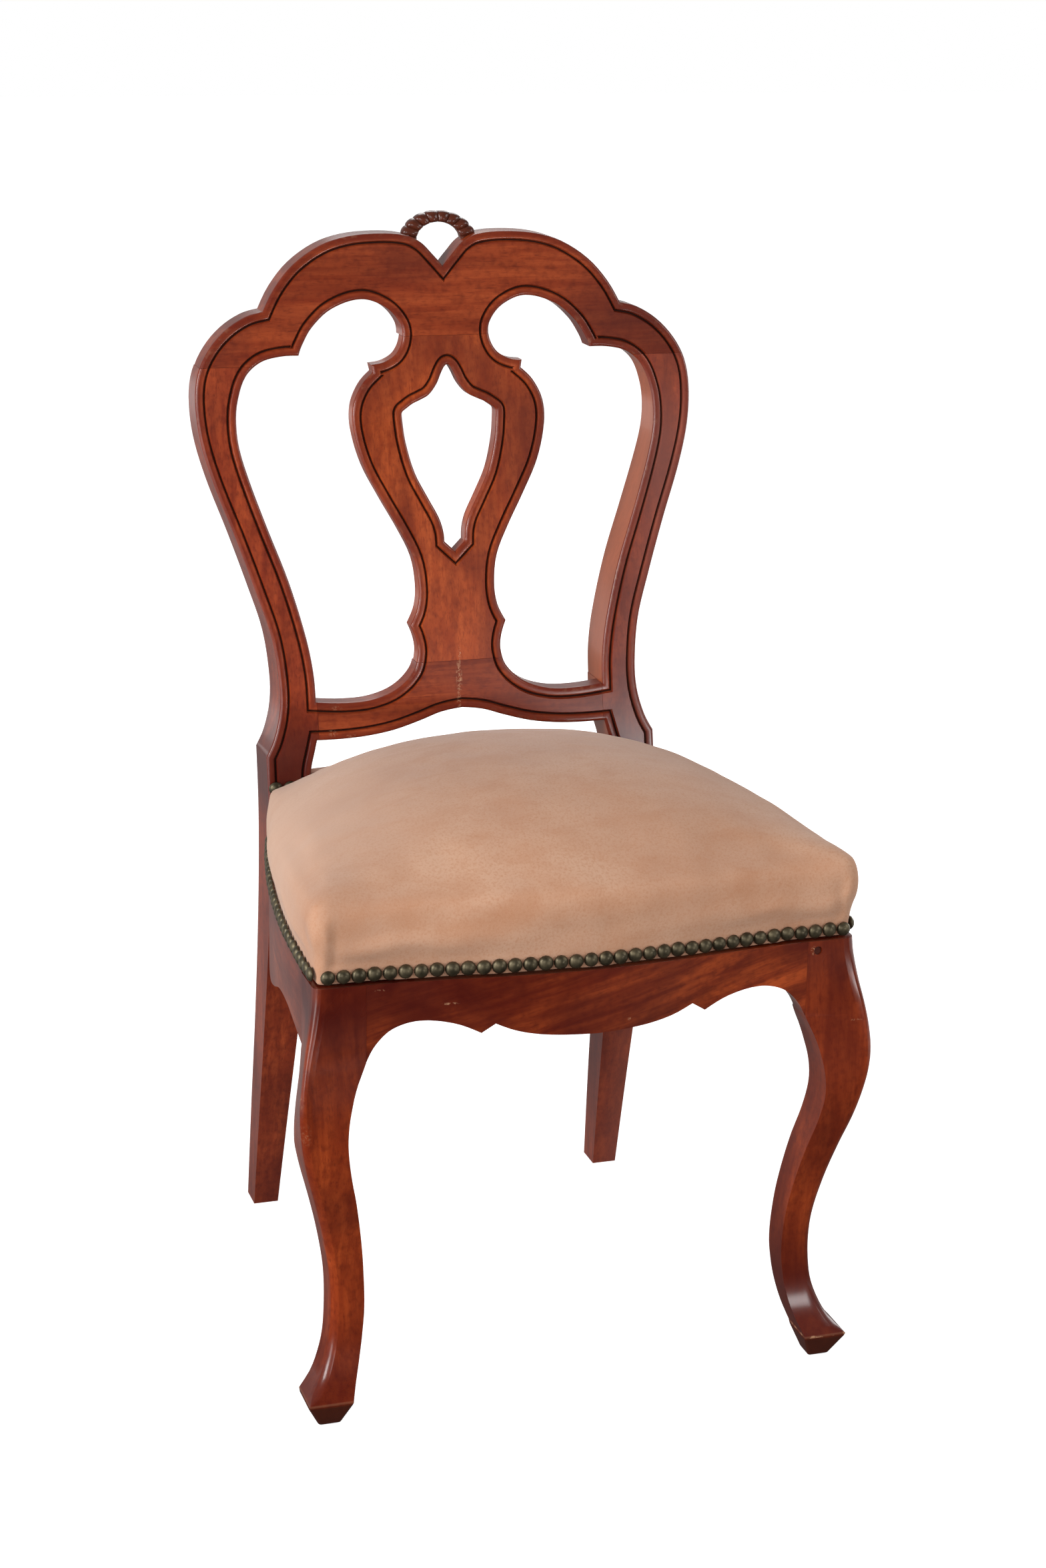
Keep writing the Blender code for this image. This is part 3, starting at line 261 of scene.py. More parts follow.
def mirrored_loop(right_half: Loop) -> Loop:
    """Close a right half that runs from the top centre to the bottom centre."""
    return right_half[::-1] + [(-u, v) for u, v in right_half if u > TINY]


def offset_loop(loop: Loop, distance: float) -> Loop:
    """Move a closed loop to its left by a distance, with mitred corners.

    Args:
        loop: Closed loop.
        distance: How far it moves.

    Returns:
        The moved loop, with as many points.
    """
    moved: Loop = []
    for i, point in enumerate(loop):
        here = Vector(point)
        into = (here - Vector(loop[i - 1])).normalized()
        out = (Vector(loop[(i + 1) % len(loop)]) - here).normalized()
        side = Vector((-into.y - out.y, into.x + out.x)) / (1 + into.dot(out))
        moved.append(tuple(here + side * distance))
    return moved


def value_at(rows: list[Point], height: float) -> float:
    """Read a smooth value at a height from rows of height and value.

    Args:
        rows: Heights in rising order, each with its value.
        height: Height to read at.

    Returns:
        The value there.
    """
    height = min(max(height, rows[0][0]), rows[-1][0])
    i = next(k for k in range(len(rows) - 1) if height <= rows[k + 1][0])
    slopes = []
    for k in (i, i + 1):
        before, after = rows[max(k - 1, 0)], rows[min(k + 1, len(rows) - 1)]
        slopes.append((after[1] - before[1]) / (after[0] - before[0]))
    (z0, v0), (z1, v1) = rows[i], rows[i + 1]
    t, run = (height - z0) / (z1 - z0), z1 - z0
    ease = t * t * (3 - 2 * t)
    return v0 + (v1 - v0) * ease + run * t * (1 - t) * ((1 - t) * slopes[0] - t * slopes[1])


# Modelling

def deselect() -> None:
    """Leave object mode clean, with nothing selected."""
    if bpy.context.object and bpy.context.object.mode != "OBJECT":
        bpy.ops.object.mode_set(mode="OBJECT")
    bpy.ops.object.select_all(action="DESELECT")


def activate(piece: Piece) -> None:
    """Make a piece the only selected and active one.

    Args:
        piece: Object to select.
    """
    deselect()
    piece.select_set(True)
    bpy.context.view_layer.objects.active = piece


def drop(piece: Piece) -> None:
    """Delete a helper object and its data.

    Args:
        piece: Object that is no longer needed.
    """
    data = piece.data
    bpy.data.objects.remove(piece, do_unlink=True)
    if isinstance(data, bpy.types.Mesh):
        bpy.data.meshes.remove(data)


def link(name: str, data: bpy.types.ID) -> Piece:
    """Put a mesh, curve, light or camera in the scene.

    Args:
        name: Name of the new object.
        data: What it shows.

    Returns:
        The new object.
    """
    piece = bpy.data.objects.new(name, data)
    bpy.context.scene.collection.objects.link(piece)
    return piece


def join(pieces: list[Piece]) -> Piece:
    """Join pieces into the first one.

    Args:
        pieces: Mesh objects.

    Returns:
        The first piece, which now holds them all.
    """
    activate(pieces[0])
    for other in pieces[1:]:
        other.select_set(True)
    bpy.ops.object.join()
    return pieces[0]


def tidy(piece: Piece) -> None:
    """Merge a piece's doubles and turn its faces outwards.

    Args:
        piece: Closed mesh object.
    """
    activate(piece)
    bpy.ops.object.mode_set(mode="EDIT")
    bpy.ops.mesh.select_all(action="SELECT")
    bpy.ops.mesh.remove_doubles(threshold=MERGE)
    bpy.ops.mesh.normals_make_consistent(inside=False)
    bpy.ops.object.mode_set(mode="OBJECT")


def apply_all(piece: Piece) -> None:
    """Apply every modifier of a piece in order.

    Args:
        piece: Object with live modifiers.
    """
    activate(piece)
    for name in [step.name for step in piece.modifiers]:
        bpy.ops.object.modifier_apply(modifier=name)


def prism(name: str, loops: list[Loop], facing: Facing, low: float, high: float) -> Piece:
    """Extrude flat loops, the later ones holes, between two places along their axis.

    Args:
        name: Name of the new object.
        loops: Outline first, then holes.
        facing: Plane the loops are drawn in.
        low: Nearest end along the axis.
        high: Furthest end along the axis.

    Returns:
        A closed mesh object.
    """
    curve = bpy.data.curves.new(name, "CURVE")
    curve.dimensions = "2D"
    curve.fill_mode = "BOTH"
    curve.extrude = (high - low) / 2
    for loop in loops:
        spline = curve.splines.new("POLY")
        spline.points.add(len(loop) - 1)
        for spot, (u, v) in zip(spline.points, loop):
            spot.co = (u, v, 0.0, 1.0)
        spline.use_cyclic_u = True
    piece = link(name, curve)
    activate(piece)
    bpy.ops.object.convert(target="MESH")
    middle = (low + high) / 2
    axes = {
        Facing.FRONT: Matrix(((1, 0, 0, 0), (0, 0, -1, middle), (0, 1, 0, 0), (0, 0, 0, 1))),
        Facing.SIDE: Matrix(((0, 0, 1, middle), (1, 0, 0, 0), (0, 1, 0, 0), (0, 0, 0, 1))),
        Facing.PLAN: Matrix.Translation((0, 0, middle)),
    }
    piece.data.transform(axes[facing])
    tidy(piece)
    return piece


def loft(
    name: str,
    sections: list[list[Place]],
    ring: bool = False,
    peak: Place | None = None,
) -> Piece:
    """Skin closed sections of equal counts.

    Args:
        name: Name of the new object.
        sections: Sections in order.
        ring: Whether the last section joins the first.
        peak: Point that closes the last section, instead of a flat cap.

    Returns:
        A closed mesh object.
    """
    form = bmesh.new()
    rows = [[form.verts.new(point) for point in section] for section in sections]
    pairs = list(zip(rows, rows[1:]))
    if ring:
        pairs.append((rows[-1], rows[0]))
    else:
        form.faces.new(rows[0])
    if peak:
        top = form.verts.new(peak)
        for a, b in zip(rows[-1], rows[-1][1:] + rows[-1][:1]):
            form.faces.new((a, b, top))
    elif not ring:
        form.faces.new(rows[-1])
    for low, high in pairs:
        for i in range(len(low)):
            j = (i + 1) % len(low)
            form.faces.new((low[i], low[j], high[j], high[i]))
    bmesh.ops.recalc_face_normals(form, faces=form.faces)
    mesh = bpy.data.meshes.new(name)
    form.to_mesh(mesh)
    form.free()
    return link(name, mesh)


def carve(piece: Piece, cutter: Piece, cut: Cut, keep: bool = False) -> None:
    """Cut a piece with another one.

    Args:
        piece: Piece to cut.
        cutter: Closed cutter, which may cross itself when it is kept.
        cut: What the cutter does.
        keep: Whether the cutter is used again, as the moulding is.
    """
    step = piece.modifiers.new("carve", "BOOLEAN")
    step.operation = cut.value
    step.object = cutter
    step.solver = "EXACT"
    step.use_self = keep
    apply_all(piece)
    tidy(piece)
    if not keep:
        drop(cutter)


def soften(piece: Piece, width: float, choose: Callable[[Vector], bool], segments: int = 2) -> None:
    """Round the sharp edges of a piece whose middles are chosen.

    Args:
        piece: Piece to round.
        width: Width of the rounding.
        choose: Test of an edge's middle.
        segments: Steps across the rounding.
    """
    form = bmesh.new()
    form.from_mesh(piece.data)
    layers = form.edges.layers.float
    weights = layers.get(BEVEL_WEIGHT) or layers.new(BEVEL_WEIGHT)
    for edge in form.edges:
        if len(edge.link_faces) == 2 and edge.calc_face_angle() > SHARP:
            edge[weights] = 1.0 if choose((edge.verts[0].co + edge.verts[1].co) / 2) else 0.0
    form.to_mesh(piece.data)
    form.free()
    step = piece.modifiers.new("soften", "BEVEL")
    step.limit_method = "WEIGHT"
    step.width = width
    step.segments = segments
    apply_all(piece)


def smooth(piece: Piece, degrees: float = 32.0) -> None:
    """Shade a piece smooth, but for its sharper edges, with its broad faces kept flat.

    Args:
        piece: Finished mesh object.
        degrees: Angle past which an edge stays sharp.
    """
    activate(piece)
    bpy.ops.object.shade_smooth_by_angle(angle=math.radians(degrees))
    step = piece.modifiers.new("even", "WEIGHTED_NORMAL")
    step.keep_sharp = True
    apply_all(piece)


def mirrored(piece: Piece, name: str) -> Piece:
    """Copy a piece to the other side of the chair.

    Args:
        piece: Piece on the right.
        name: The copy's name.

    Returns:
        The copy, with its own mesh.
    """
    copy = link(name, piece.data.copy())
    copy.data.transform(Matrix.Diagonal((-1, 1, 1, 1)))
    copy.data.flip_normals()
    return copy


@dataclass
class Dresser:
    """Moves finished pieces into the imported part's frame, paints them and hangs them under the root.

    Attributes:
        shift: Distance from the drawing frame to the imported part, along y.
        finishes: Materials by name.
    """

    shift: float
    finishes: dict[str, bpy.types.Material] = field(default_factory=dict)

    def paint(self, piece: Piece, finish: str) -> None:
        """Give a piece one material, by name."""
        piece.data.materials.clear()
        piece.data.materials.append(self.finishes[finish])

    def dress(self, piece: Piece, finish: str, slot: str, *nodes: str) -> None:
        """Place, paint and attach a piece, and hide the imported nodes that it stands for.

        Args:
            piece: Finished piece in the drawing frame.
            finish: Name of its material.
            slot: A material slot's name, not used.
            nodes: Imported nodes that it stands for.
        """
        piece.data.transform(Matrix.Translation((0.0, self.shift, 0.0)))
        self.paint(piece, finish)
        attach(piece, "root")
        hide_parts(*nodes)
        LOG.info("%s: %d faces", piece.name, len(piece.data.polygons))


# Back

@dataclass
class MouldedBack:
    """Crest, splat, cross rail and stiles, moulded along every front edge."""

    crest_thickness: float = 0.024
    splat_thickness: float = 0.015
    cross_thickness: float = 0.018
    crest_joint_z: float = 0.821
    splat_top_z: float = 0.8435
    splat_foot_z: float = 0.5515
    cross_joint_x: float = 0.1374
    moulding_foot_z: float = 0.415
    foot_inner_x: float = 0.1633
    bead: float = 0.0064
    groove: float = 0.0036
    groove_depth: float = 0.0026
    edge_round: float = 0.0026
    arris: float = 0.0016
    round_angles: tuple[int, ...] = (0, 22, 45, 68, 90)
    groove_steps: tuple[Point, ...] = ((0.0, 0.14), (0.18, 0.62), (0.38, 0.96), (0.58, 0.96), (0.78, 0.55))
    contour_step: float = 0.0012
    contour_room: int = 12000
    face_skin: float = 0.001
    groove_room: Place = (0.9, 1.5, 1.3)
    bead_room: float = 0.8
    # The next two pick the posts' inner faces above the seat, whose colour is painted paler as painted light
    # from the side.
    lit_face_from: float = 0.9
    lit_face_normal: float = -0.3
    soft_from: float = 2.2
    splat_reach: float = 0.100
    beyond_x: float = 0.3
    beyond_z: float = 1.2
    crest_edge: list[Knot] = field(default_factory=lambda: [
        (0.0, 0.905, C), (0.009, 0.9150, S), (0.020, 0.9260, S), (0.034, 0.9325, S), (0.060, 0.9346, S),
        (0.090, 0.9322, S), (0.115, 0.9245, S), (0.140, 0.9085, S), (0.158, 0.8885, S),
        (0.1695, 0.8685, C), (0.186, 0.8642, S), (0.205, 0.8528, S), (0.221, 0.8360, S),
        (0.2315, 0.8160, S), (0.2352, 0.7920, S), (0.2325, 0.7580, S), (0.2225, 0.7200, S),
        (0.2046, 0.6700, S), (0.1880, 0.6200, S), (0.1762, 0.5800, S), (0.1716, 0.5400, S),
        (0.1726, 0.5150, S), (0.1790, 0.4910, S), (0.1870, 0.4755, C),
    ])
    under_edge: list[Knot] = field(default_factory=lambda: [
        (0.1470, 0.4400, C), (0.1457, 0.4610, S), (0.1410, 0.4790, S), (0.1388, 0.4872, C),
        (0.115, 0.4869, S), (0.090, 0.4882, S), (0.065, 0.4919, S), (0.040, 0.4988, S),
        (0.020, 0.5052, S), (0.0, 0.5080, S),
    ])
    opening: list[Knot] = field(default_factory=lambda: [
        (0.1384, 0.8290, C), (0.1350, 0.8375, S), (0.1250, 0.8532, S), (0.1060, 0.8690, S),
        (0.0780, 0.8768, S), (0.0560, 0.8694, S), (0.0430, 0.8552, S), (0.0412, 0.8420, S),
        (0.0475, 0.8285, S), (0.0590, 0.8215, S), (0.0720, 0.8195, C), (0.0705, 0.8125, C),
        (0.0820, 0.8010, S), (0.0905, 0.7830, S), (0.0912, 0.7620, S), (0.0830, 0.7300, S),
        (0.0680, 0.7000, S), (0.0514, 0.6700, S), (0.0400, 0.6450, S), (0.0365, 0.6200, S),
        (0.0385, 0.6010, S), (0.0460, 0.5850, C), (0.0412, 0.5720, S), (0.0400, 0.5590, S),
        (0.0452, 0.5432, S), (0.0620, 0.5284, S), (0.0850, 0.5208, S), (0.1100, 0.5195, S),
        (0.1381, 0.5218, C), (0.1390, 0.5480, S), (0.1442, 0.5800, S), (0.1576, 0.6300, S),
        (0.1754, 0.6800, S), (0.1889, 0.7200, S), (0.1969, 0.7500, S), (0.1985, 0.7720, S),
        (0.1962, 0.7910, S), (0.1880, 0.8120, S), (0.1740, 0.8240, S), (0.1560, 0.8285, S),
    ])
    cutout: list[Knot] = field(default_factory=lambda: [
        (0.0, 0.8172, S), (0.0014, 0.8167, S), (0.0034, 0.8145, S), (0.0062, 0.8095, S),
        (0.0108, 0.8000, S), (0.0185, 0.7908, S), (0.0270, 0.7864, S), (0.0344, 0.7832, S),
        (0.0402, 0.7794, S), (0.0438, 0.7768, S), (0.0447, 0.7750, S), (0.0445, 0.7690, S),
        (0.0424, 0.7500, S), (0.0350, 0.7220, S), (0.0235, 0.6990, S), (0.0140, 0.6810, S),
        (0.0104, 0.6690, S), (0.0096, 0.6590, C), (0.0, 0.6500, C),
    ])
    stile_front: list[Knot] = field(default_factory=lambda: [
        (0.0790, 0.0, C), (0.0540, 0.1000, S), (0.0280, 0.2000, S), (0.0075, 0.2900, S),
        (0.0008, 0.3500, S), (0.0, 0.4400, C),
    ])
    stile_back: list[Knot] = field(default_factory=lambda: [
        (0.1070, 0.0, C), (0.0880, 0.1000, S), (0.0670, 0.2000, S), (0.0505, 0.3000, S),
        (0.0435, 0.3800, S), (0.0450, 0.4400, S), (0.0685, 0.5800, S), (0.0885, 0.7000, S),
        (0.0970, 0.7900, S), (0.0982, 0.8210, C),
    ])

    def loops(self) -> tuple[Loop, Loop, list[Loop]]:
        """Give the outline with the rear legs, the moulded outline without them, and the openings.

        Returns:
            The two outlines, then the two large openings and the cut-out.
        """
        crest, under = sample(self.crest_edge), sample(self.under_edge)
        outer_x, inner_x = SIZES.stile_outer_x, SIZES.stile_inner_x
        legs = [(outer_x, 0.0), (self.foot_inner_x, 0.0), (inner_x, SIZES.show_top - SIZES.post)]
        cut_off = [(outer_x, self.moulding_foot_z), (inner_x, self.moulding_foot_z)]
        opening = sample(self.opening, closed=True)
        openings = [opening, [(-x, z) for x, z in opening[::-1]], mirrored_loop(sample(self.cutout))]
        return mirrored_loop(crest + legs + under), mirrored_loop(crest + cut_off + under), openings

    @staticmethod
    def rectangle(half: float, low: float, high: float) -> Loop:
        """Give a rectangle about the middle."""
        return [(-half, low), (half, low), (half, high), (-half, high)]

    def section(self) -> list[Point]:
        """Give the moulding cutter's section as distances in from the edge and depths behind the face.

        Returns:
            The points of the closed section.
        """
        edge, bead, groove, depth = self.edge_round, self.bead, self.groove, self.groove_depth
        points = [(-edge, -edge), (-edge, edge * 2.0)]
        for angle in self.round_angles:
            turn = math.radians(angle)
            points.append((edge * (1 - math.cos(turn)), edge * (1.02 - math.sin(turn))))
        points.append((bead * 0.86, edge * 0.04))
        for share, level in self.groove_steps:
            points.append((bead + groove * share, depth * level))
        return points + [(bead + groove, -edge * 0.1), (bead + groove, -edge)]

    def moulding(self, moulded: Loop, openings: list[Loop]) -> Piece:
        """Make one cutter with a ring along the outline and along each opening.

        Args:
            moulded: Outline that the moulding follows.
            openings: Openings that it follows too.

        Returns:
            The cutter.
        """
        rings = []
        for loop in [moulded] + [hole[::-1] for hole in openings]:
            rows = [[(x, depth, z) for x, z in offset_loop(loop, inset)] for inset, depth in self.section()]
            rings.append(loft("moulding", rows, ring=True))
        cutter = join(rings)
        cutter.data.transform(SIZES.lean)
        return cutter

    def member(self, name: str, outer: Loop, openings: list[Loop], ground: Loop, depth: float) -> Piece:
        """Cut one leaning member from the whole back.

        Args:
            name: Name of the new object.
            outer: Outline of the whole back.
            openings: Openings in it.
            ground: Outline of the part that the member takes.
            depth: Thickness of the member.

        Returns:
            The member, without its moulding.
        """
        slab = prism(name, [ground], Facing.FRONT, 0.0, depth)
        slab.data.transform(SIZES.lean)
        panel = prism("panel", [outer] + openings, Facing.FRONT, -THROUGH, THROUGH)
        carve(slab, panel, Cut.KEEP)
        return slab

    def stile(self, outer: Loop, openings: list[Loop]) -> Piece:
        """Cut the right rear post from its front view and its side view.

        Args:
            outer: Outline of the whole back.
            openings: Openings in it.

        Returns:
            The post, without its moulding.
        """
        top = self.crest_joint_z - SIZES.gap
        front = [(SIZES.stile_front_y + y, z) for y, z in sample(self.stile_front)]
        back = [(SIZES.stile_front_y + y, z) for y, z in sample(self.stile_back)]
        profile = front + [(SIZES.plane_y(top), top), (back[-1][0], top)] + back[-2::-1]
        post = prism("back_post_right", [profile], Facing.SIDE, self.cross_joint_x + SIZES.gap, self.beyond_x)
        panel = prism("panel", [outer] + openings, Facing.FRONT, -THROUGH, THROUGH)
        carve(post, panel, Cut.KEEP)
        return post

    def mark(self, piece: Piece, contour: KDTree) -> None:
        """Store for each point of a piece how deep in the groove it lies, how near an edge, and whether it is
        on a post's inner face that gets painted light.

        Args:
            piece: Moulded piece in the drawing frame.
            contour: Points along every outline.
        """
        grooves = piece.data.attributes.new("groove", "FLOAT", "POINT")
        edges = piece.data.attributes.new("edge", "FLOAT", "POINT")
        bare = piece.data.attributes.new("bare", "FLOAT", "POINT")
        start, end, floor = self.groove_room
        for i, vertex in enumerate(piece.data.vertices):
            x, y, z = vertex.co
            depth = y - SIZES.plane_y(z)
            _, _, inset = contour.find((x, 0.0, z))
            in_front = -self.face_skin < depth < self.groove_depth * floor and z > self.moulding_foot_z
            in_groove = in_front and self.bead * start < inset < (self.bead + self.groove) * end
            grooves.data[i].value = clamp(depth / self.groove_depth) if in_groove else 0.0
            on_bead = in_front and depth < self.bead_room * self.edge_round
            edges.data[i].value = max(0.0, 1.0 - inset / (2 * self.edge_round)) if on_bead else 0.0
            # Inner faces of the posts above the seat, marked for painted light.
            inwards = vertex.normal.x * math.copysign(1.0, x) < self.lit_face_normal
            inside = inwards and abs(x) > self.cross_joint_x
            above = depth > self.lit_face_from * self.edge_round and z > SIZES.plane_z
            bare.data[i].value = 1.0 if inside and above else 0.0

    def contour(self, loops: list[Loop]) -> KDTree:
        """Give closely spaced points along every outline, to measure distances from.

        Args:
            loops: Outlines in the front view.

        Returns:
            A search tree of the points.
        """
        tree = KDTree(self.contour_room)
        count = 0
        for loop in loops:
            for (ax, az), (bx, bz) in zip(loop, loop[1:] + loop[:1]):
                steps = max(1, round(math.hypot(bx - ax, bz - az) / self.contour_step))
                for k in range(steps):
                    tree.insert((ax + (bx - ax) * k / steps, 0.0, az + (bz - az) * k / steps), count)
                    count += 1
        tree.balance()
        return tree

    def build(self, dresser: Dresser) -> None:
        """Build and dress the five members.

        Args:
            dresser: Places and paints the pieces.
        """
        outer, moulded, openings = self.loops()
        contour = self.contour([moulded] + openings)
        gap, step, wide, high = SIZES.gap, self.splat_reach, self.beyond_x, self.beyond_z
        low, top, foot = self.crest_joint_z + gap, self.splat_top_z, self.splat_foot_z
        limit = self.cross_joint_x - gap
        crest_half = [(step, top + gap), (step, low), (wide, low), (wide, high)]
        crest_ground = [(-x, z) for x, z in crest_half[::-1]][1:] + crest_half + [(-wide, high)]
        splat_ground = self.rectangle(step, foot + gap, top - gap)
        cross_ground = self.rectangle(limit, SIZES.plane_z, foot - gap)
        pieces = {
            "crest_rail": self.member("crest", outer, openings, crest_ground, self.crest_thickness),
            "back_splat": self.member("splat", outer, openings, splat_ground, self.splat_thickness),
            "back_cross_rail": self.member("cross_rail", outer, openings, cross_ground, self.cross_thickness),
            "rear_stile_right": self.stile(outer, openings),
        }
        cutter = self.moulding(moulded, openings)
        finishes = {"crest_rail": "wood_across", "back_cross_rail": "wood_across", "back_splat": "wood_splat"}

        def behind(at: Vector) -> bool:
            """Tell whether an edge lies behind the moulding or below it."""
            depth = at.y - SIZES.plane_y(at.z)
            return depth > self.soft_from * self.edge_round or at.z < self.moulding_foot_z

        for piece in pieces.values():
            carve(piece, cutter, Cut.REMOVE, keep=True)
            soften(piece, self.arris, behind)
            self.mark(piece, contour)
            smooth(piece)
        left = mirrored(pieces["rear_stile_right"], "back_post_left")
        smooth(left)
        for node, piece in pieces.items():
            dresser.dress(piece, finishes.get(node, "wood_upright"), "mahogany", node)
        dresser.dress(left, "wood_upright", "mahogany", "rear_stile_left")
        drop(cutter)


@dataclass
class CrestLoop:
    """Fluted arch over the notch of the crest."""

    centre_z: float = 0.926
    outer: Point = (0.0365, 0.0265)
    inner: Point = (0.0205, 0.0160)
    front_depth: float = 0.008
    depth: float = 0.013
    flutes: int = 10
    flute_steps: int = 12
    flute_cut: float = 0.0022
    flute_dip: float = 0.10
    flute_power: float = 0.6
    start: float = -8.0
    sweep: float = 196.0
    sides: int = 16
    squareness: float = 0.7
    crest_from_z: float = 0.83
    sharp_from: float = 50.0

    def squared(self, wave: float) -> float:
        """Turn a sine or cosine into a share across a squarish section."""
        return 0.5 - 0.5 * math.copysign(abs(wave) ** self.squareness, wave)

    def build(self, dresser: Dresser, crest_edge: list[Knot]) -> None:
        """Loft the arch, seat it on the crest and dress it.

        Args:
            dresser: Places and paints the piece.
            crest_edge: The crest's upper outline.
        """
        sections = []
        steps = self.flutes * self.flute_steps
        for i in range(steps + 1):
            share = i / steps
            angle = math.radians(self.start + share * self.sweep)
            ridge = abs(math.sin(math.pi * self.flutes * share)) ** self.flute_power
            cut = self.flute_cut * (1 - ridge)
            inner = Vector((self.inner[0] * math.cos(angle), self.inner[1] * math.sin(angle)))
            outer = Vector((self.outer[0] * math.cos(angle), self.outer[1] * math.sin(angle)))
            outer -= (outer - inner) * self.flute_dip * (1 - ridge)
            section = []
            for k in range(self.sides):
                turn = 2 * math.pi * k / self.sides
                deep = self.squared(math.sin(turn))
                x, z = inner.lerp(outer, self.squared(math.cos(turn)))
                section.append((x, self.front_depth + cut + (self.depth - cut) * deep, self.centre_z + z))
            sections.append(section)
        arch = loft("crest_arch", sections)
        arch.data.transform(SIZES.lean)
        top = mirrored_loop([p for p in sample(crest_edge) if p[1] > self.crest_from_z])
        cutter = prism("crest_cutter", [offset_loop(top, -SIZES.gap)], Facing.FRONT, -THROUGH, THROUGH)
        carve(arch, cutter, Cut.REMOVE)
        smooth(arch, self.sharp_from)
        dresser.dress(arch, "wood_dark", "mahogany_dark", "crest_loop")


# Seat frame

@dataclass
class CabrioleLegs:
    """Front legs, sawn alike on the front and the side."""

    outer: list[Point] = field(default_factory=lambda: [
        (0.0241, 0.0070), (0.0360, -0.0034), (0.0480, -0.0098), (0.0640, -0.0152), (0.0800, -0.0176),
        (0.1050, -0.0186), (0.1320, -0.0168), (0.1670, -0.0103), (0.2000, -0.0020), (0.2300, 0.0065),
        (0.2550, 0.0120), (0.2750, 0.0152), (0.2950, 0.0162), (0.3150, 0.0144), (0.3350, 0.0108),
        (0.3560, 0.0057), (0.3780, 0.0014), (0.3920, 0.0),
    ])
    inner: list[Point] = field(default_factory=lambda: [
        (0.0241, -0.0309), (0.0400, -0.0368), (0.0570, -0.0414), (0.0740, -0.0445), (0.1000, -0.0467),
        (0.1360, -0.0450), (0.1660, -0.0414), (0.2000, -0.0356), (0.2300, -0.0290), (0.2550, -0.0255),
        (0.2750, -0.0264), (0.2950, -0.0308), (0.3070, -0.0348), (0.3160, -0.0388), (0.3256, -0.0430),
        (0.3260, -0.0430), (0.3920, -0.0430),
    ])
    pad: Point = (-0.0038, -0.0224)
    fair: Point = (0.250, 0.330)
    thin: Place = (0.290, 0.330, 0.370)
    toe_edge: float = 0.0030
    toe_top: float = 0.020
    pad_top: float = 0.018
    arris: float = 0.0085
    arris_from_z: float = 0.03
    pad_round: float = 0.0032
    edge_round: float = 0.0012
    near: float = 0.002
    joint_margin: float = 0.004
    peg: Place = (0.2012, 0.0037, 0.3835)
    peg_depth: float = 0.004
    level_step: float = 0.0055
    arris_steps: int = 5
    pad_steps: int = 3
    peg_sides: int = 24
    sharp_from: float = 40.0

    def levels(self) -> list[Place]:
        """Give height, outer line and inner line of each level, from the pad to the post's top.

        Returns:
            One row for each level.
        """
        toe = self.outer[0][0]
        rows = [(0.0, *self.pad), (toe - self.toe_edge, self.outer[0][1], self.inner[0][1])]
        count = round((SIZES.show_top - toe) / self.level_step)
        for height in spread(toe, SIZES.show_top, count):
            rows.append((height, value_at(self.outer, height), value_at(self.inner, height)))
        return rows

    def right_leg(self) -> Piece:
        """Extrude a square foot upwards, level by level.

        Returns:
            The leg with its edges still sharp.
        """
        rows = self.levels()

        def centre(row: Place) -> Vector:
            """Give the middle of a level."""
            middle = (row[1] + row[2]) / 2
            return Vector((SIZES.front_half + middle, SIZES.leg_front_y - middle, row[0]))

        deselect()
        bpy.ops.mesh.primitive_plane_add(size=rows[0][1] - rows[0][2], location=centre(rows[0]))
        leg = bpy.context.object
        leg.name = "cabriole_leg_right"
        bpy.ops.object.transform_apply(location=True, rotation=True, scale=True)
        bpy.ops.object.mode_set(mode="EDIT")
        bpy.ops.mesh.select_all(action="SELECT")
        for last, row in zip(rows, rows[1:]):
            move = centre(row) - centre(last)
            bpy.ops.mesh.extrude_region_move(TRANSFORM_OT_translate={"value": move})
            ratio = (row[1] - row[2]) / (last[1] - last[2])
            bpy.ops.transform.resize(value=(ratio, ratio, 1.0), center_override=centre(row))
        bpy.ops.object.mode_set(mode="OBJECT")
        tidy(leg)
        return leg

    def fair_to_rails(self, leg: Piece) -> None:
        """Draw the faces back to the rails beside the joints, so that the arches run on into the leg.

        Args:
            leg: Right leg with sharp edges.
        """
        low, high = self.fair
        for vertex in leg.data.vertices:
            across, along = vertex.co.x - SIZES.front_half, SIZES.leg_front_y - vertex.co.y
            z = vertex.co.z
            share = clamp((z - low) / (high - low))
            outer, inner = value_at(self.outer, z), value_at(self.inner, z)
            middle = (outer + inner) / 2
            if across < middle < along:
                vertex.co.y += outer * share
            elif along < middle < across:
                vertex.co.x -= outer * share
            elif across < middle and along < middle:
                start, full, end = self.thin
                near = max(0.0, min((z - start) / (full - start), (end - z) / (end - full)))
                vertex.co.y -= (SIZES.post - SIZES.rail_thickness) * near * near

    def build(self, dresser: Dresser) -> None:
        """Build and dress both legs.

        Args:
            dresser: Places and paints the pieces.
        """
        leg = self.right_leg()
        self.fair_to_rails(leg)
        outer_line = [(z, SIZES.front_half + o) for z, o, _ in self.levels()]

        def on_arris(at: Vector) -> bool:
            """Tell whether an edge is the knee's outer corner.

            Args:
                at: Middle of the edge.

            Returns:
                True for the outer corner.
            """
            edge = value_at(outer_line, at.z)
            front = -edge + SIZES.front_half + SIZES.leg_front_y
            return at.x > edge - self.near and at.y < front + self.near and at.z > self.arris_from_z

        def on_joint(at: Vector) -> bool:
            """Tell whether an edge meets a rail."""
            beside = at.x < SIZES.joint_x + self.joint_margin or at.y > SIZES.leg_back_y - self.joint_margin
            return at.z > self.inner[-3][0] and beside

        def elsewhere(at: Vector) -> bool:
            """Tell whether an edge is one of the others between toe and cover."""
            between = self.toe_top < at.z < SIZES.show_top - self.joint_margin
            return between and not on_arris(at) and not on_joint(at)

